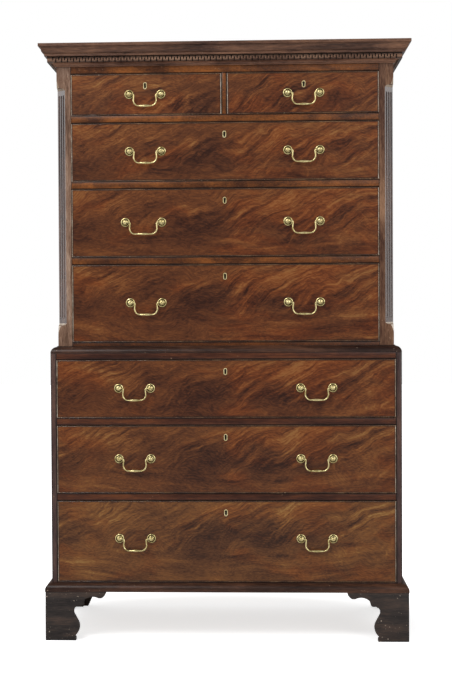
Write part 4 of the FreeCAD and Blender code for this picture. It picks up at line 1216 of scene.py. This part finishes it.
def bail(pivot, reach, sides=14):
    half = bail_line(reach)
    line = half + [(-x, z, radius) for x, z, radius in reversed(half[:-1])]
    spots = [pivot + Vector((x, 0, z)) for x, z, radius in line]
    shape = bmesh.new()
    rings = []
    for index, (spot, (x, z, radius)) in enumerate(zip(spots, line)):
        before, after = spots[max(index - 1, 0)], spots[min(index + 1, len(spots) - 1)]
        across = Vector((0, 1, 0)).cross((after - before).normalized())
        rings.append([shape.verts.new(spot + Vector((0, radius * deep, 0)) +
                                      across * (radius * wide))
                      for deep, wide in round_steps(sides)])
    skin(shape, rings)
    return shape


for row in ROWS:
    for name, pivot, reach in handles_of(row):
        finished(name + "_swan_neck", bail(pivot, reach), [brass], name, "brass", name)


# ------------------------------ studio
# A white floor that keeps the soft shadow of the chest, a white room, a large lamp high on the
# left and a weaker one on the right, and the camera a little to the right of the middle.

WHITE = paint(255, 255, 255)
ROOM_LIGHT, DIM_FRONT, BRIGHT_SIDES = 0.40, 0.12, 2.5
FLOOR, NEAR_GLOW, FAR_GLOW = 14, 0.665, 0.5
SHADOW_WIDTH, SHADOW_DEPTH = 0.62, 0.42
MIDDLE = (0, -0.2, 0.8)


def studio_floor():
    """White all round, with only the shadow that gathers under the chest."""
    shape = bmesh.new()
    bmesh.ops.create_grid(shape, x_segments=1, y_segments=1, size=FLOOR)
    floor = placed("studio_floor", meshed("studio_floor", shape))
    material, tree, shader = new_material("White floor")
    tree.nodes.remove(shader)
    seen = result(tree.nodes.new("ShaderNodeLightPath"), "Is Camera Ray")
    away = sized(stretched(object_place(tree), (1 / SHADOW_WIDTH, 1 / SHADOW_DEPTH, 0)))
    glow = NEAR_GLOW + step_up(away, 0.9, 1.5) * FAR_GLOW
    both = tree.nodes.new("ShaderNodeAddShader")
    feed(both.inputs[0], result(add(tree, "ShaderNodeEmission", Color=WHITE, Strength=seen * glow)))
    feed(both.inputs[1], result(add(tree, "ShaderNodeBsdfDiffuse", Color=paint(245, 245, 245))))
    feed(tree.nodes["Material Output"].inputs["Surface"], result(both))
    floor.data.materials.append(material)


def white_room():
    """White where it is seen.  In reflections the sides are bright, most of all above the
    level of the eye, and the front is dim."""
    world = bpy.data.worlds.new("Studio")
    bpy.context.scene.world = world
    world.use_nodes = True
    tree = world.node_tree
    seen = tree.nodes.new("ShaderNodeLightPath")
    sideways, _, upward = axes(result(tree.nodes.new("ShaderNodeTexCoord"), "Generated"))
    sides = step_up(calc("ABSOLUTE", sideways), 0.35, 0.85)
    above = 0.3 + step_up(upward, -0.1, 0.12) * 0.7
    mirror = DIM_FRONT + sides * above * BRIGHT_SIDES
    strength = between(result(seen, "Is Glossy Ray"), ROOM_LIGHT, mirror)
    strength = between(result(seen, "Is Camera Ray"), strength, 1.0)
    feed(tree.nodes["Background"].inputs["Color"], WHITE)
    feed(tree.nodes["Background"].inputs["Strength"], strength)


def lamp(name, place, size, power):
    """A square lamp turned to the middle of the chest."""
    data = bpy.data.lights.new(name, "AREA")
    data.size, data.energy = size, power
    light = placed(name, data)
    light.location = place
    light.rotation_euler = (Vector(MIDDLE) - Vector(place)).to_track_quat("-Z", "Y").to_euler()


def camera():
    """Looks slightly down at the front, from just right of the middle, with a slight roll."""
    place = Vector((0.10, -4.787, 1.036))
    left, down, roll = [math.radians(turn) for turn in (2.666, 1.404, 0.316)]
    data = bpy.data.cameras.new("camera")
    data.sensor_width, data.lens, data.shift_x = 36, 78.66, 0.0548
    made = placed("camera", data)
    made.matrix_world = (Matrix.Translation(place) @ Matrix.Rotation(left, 4, "Z") @
                         Matrix.Rotation(math.pi / 2 - down, 4, "X") @
                         Matrix.Rotation(-roll, 4, "Z"))
    bpy.context.scene.camera = made


studio_floor()
white_room()
lamp("key lamp", (-1.6, -3.0, 3.6), size=1.5, power=80)
lamp("fill lamp", (2.2, -3.6, 2.4), size=2.0, power=37)
camera()
bpy.context.scene.view_settings.view_transform = "Standard"
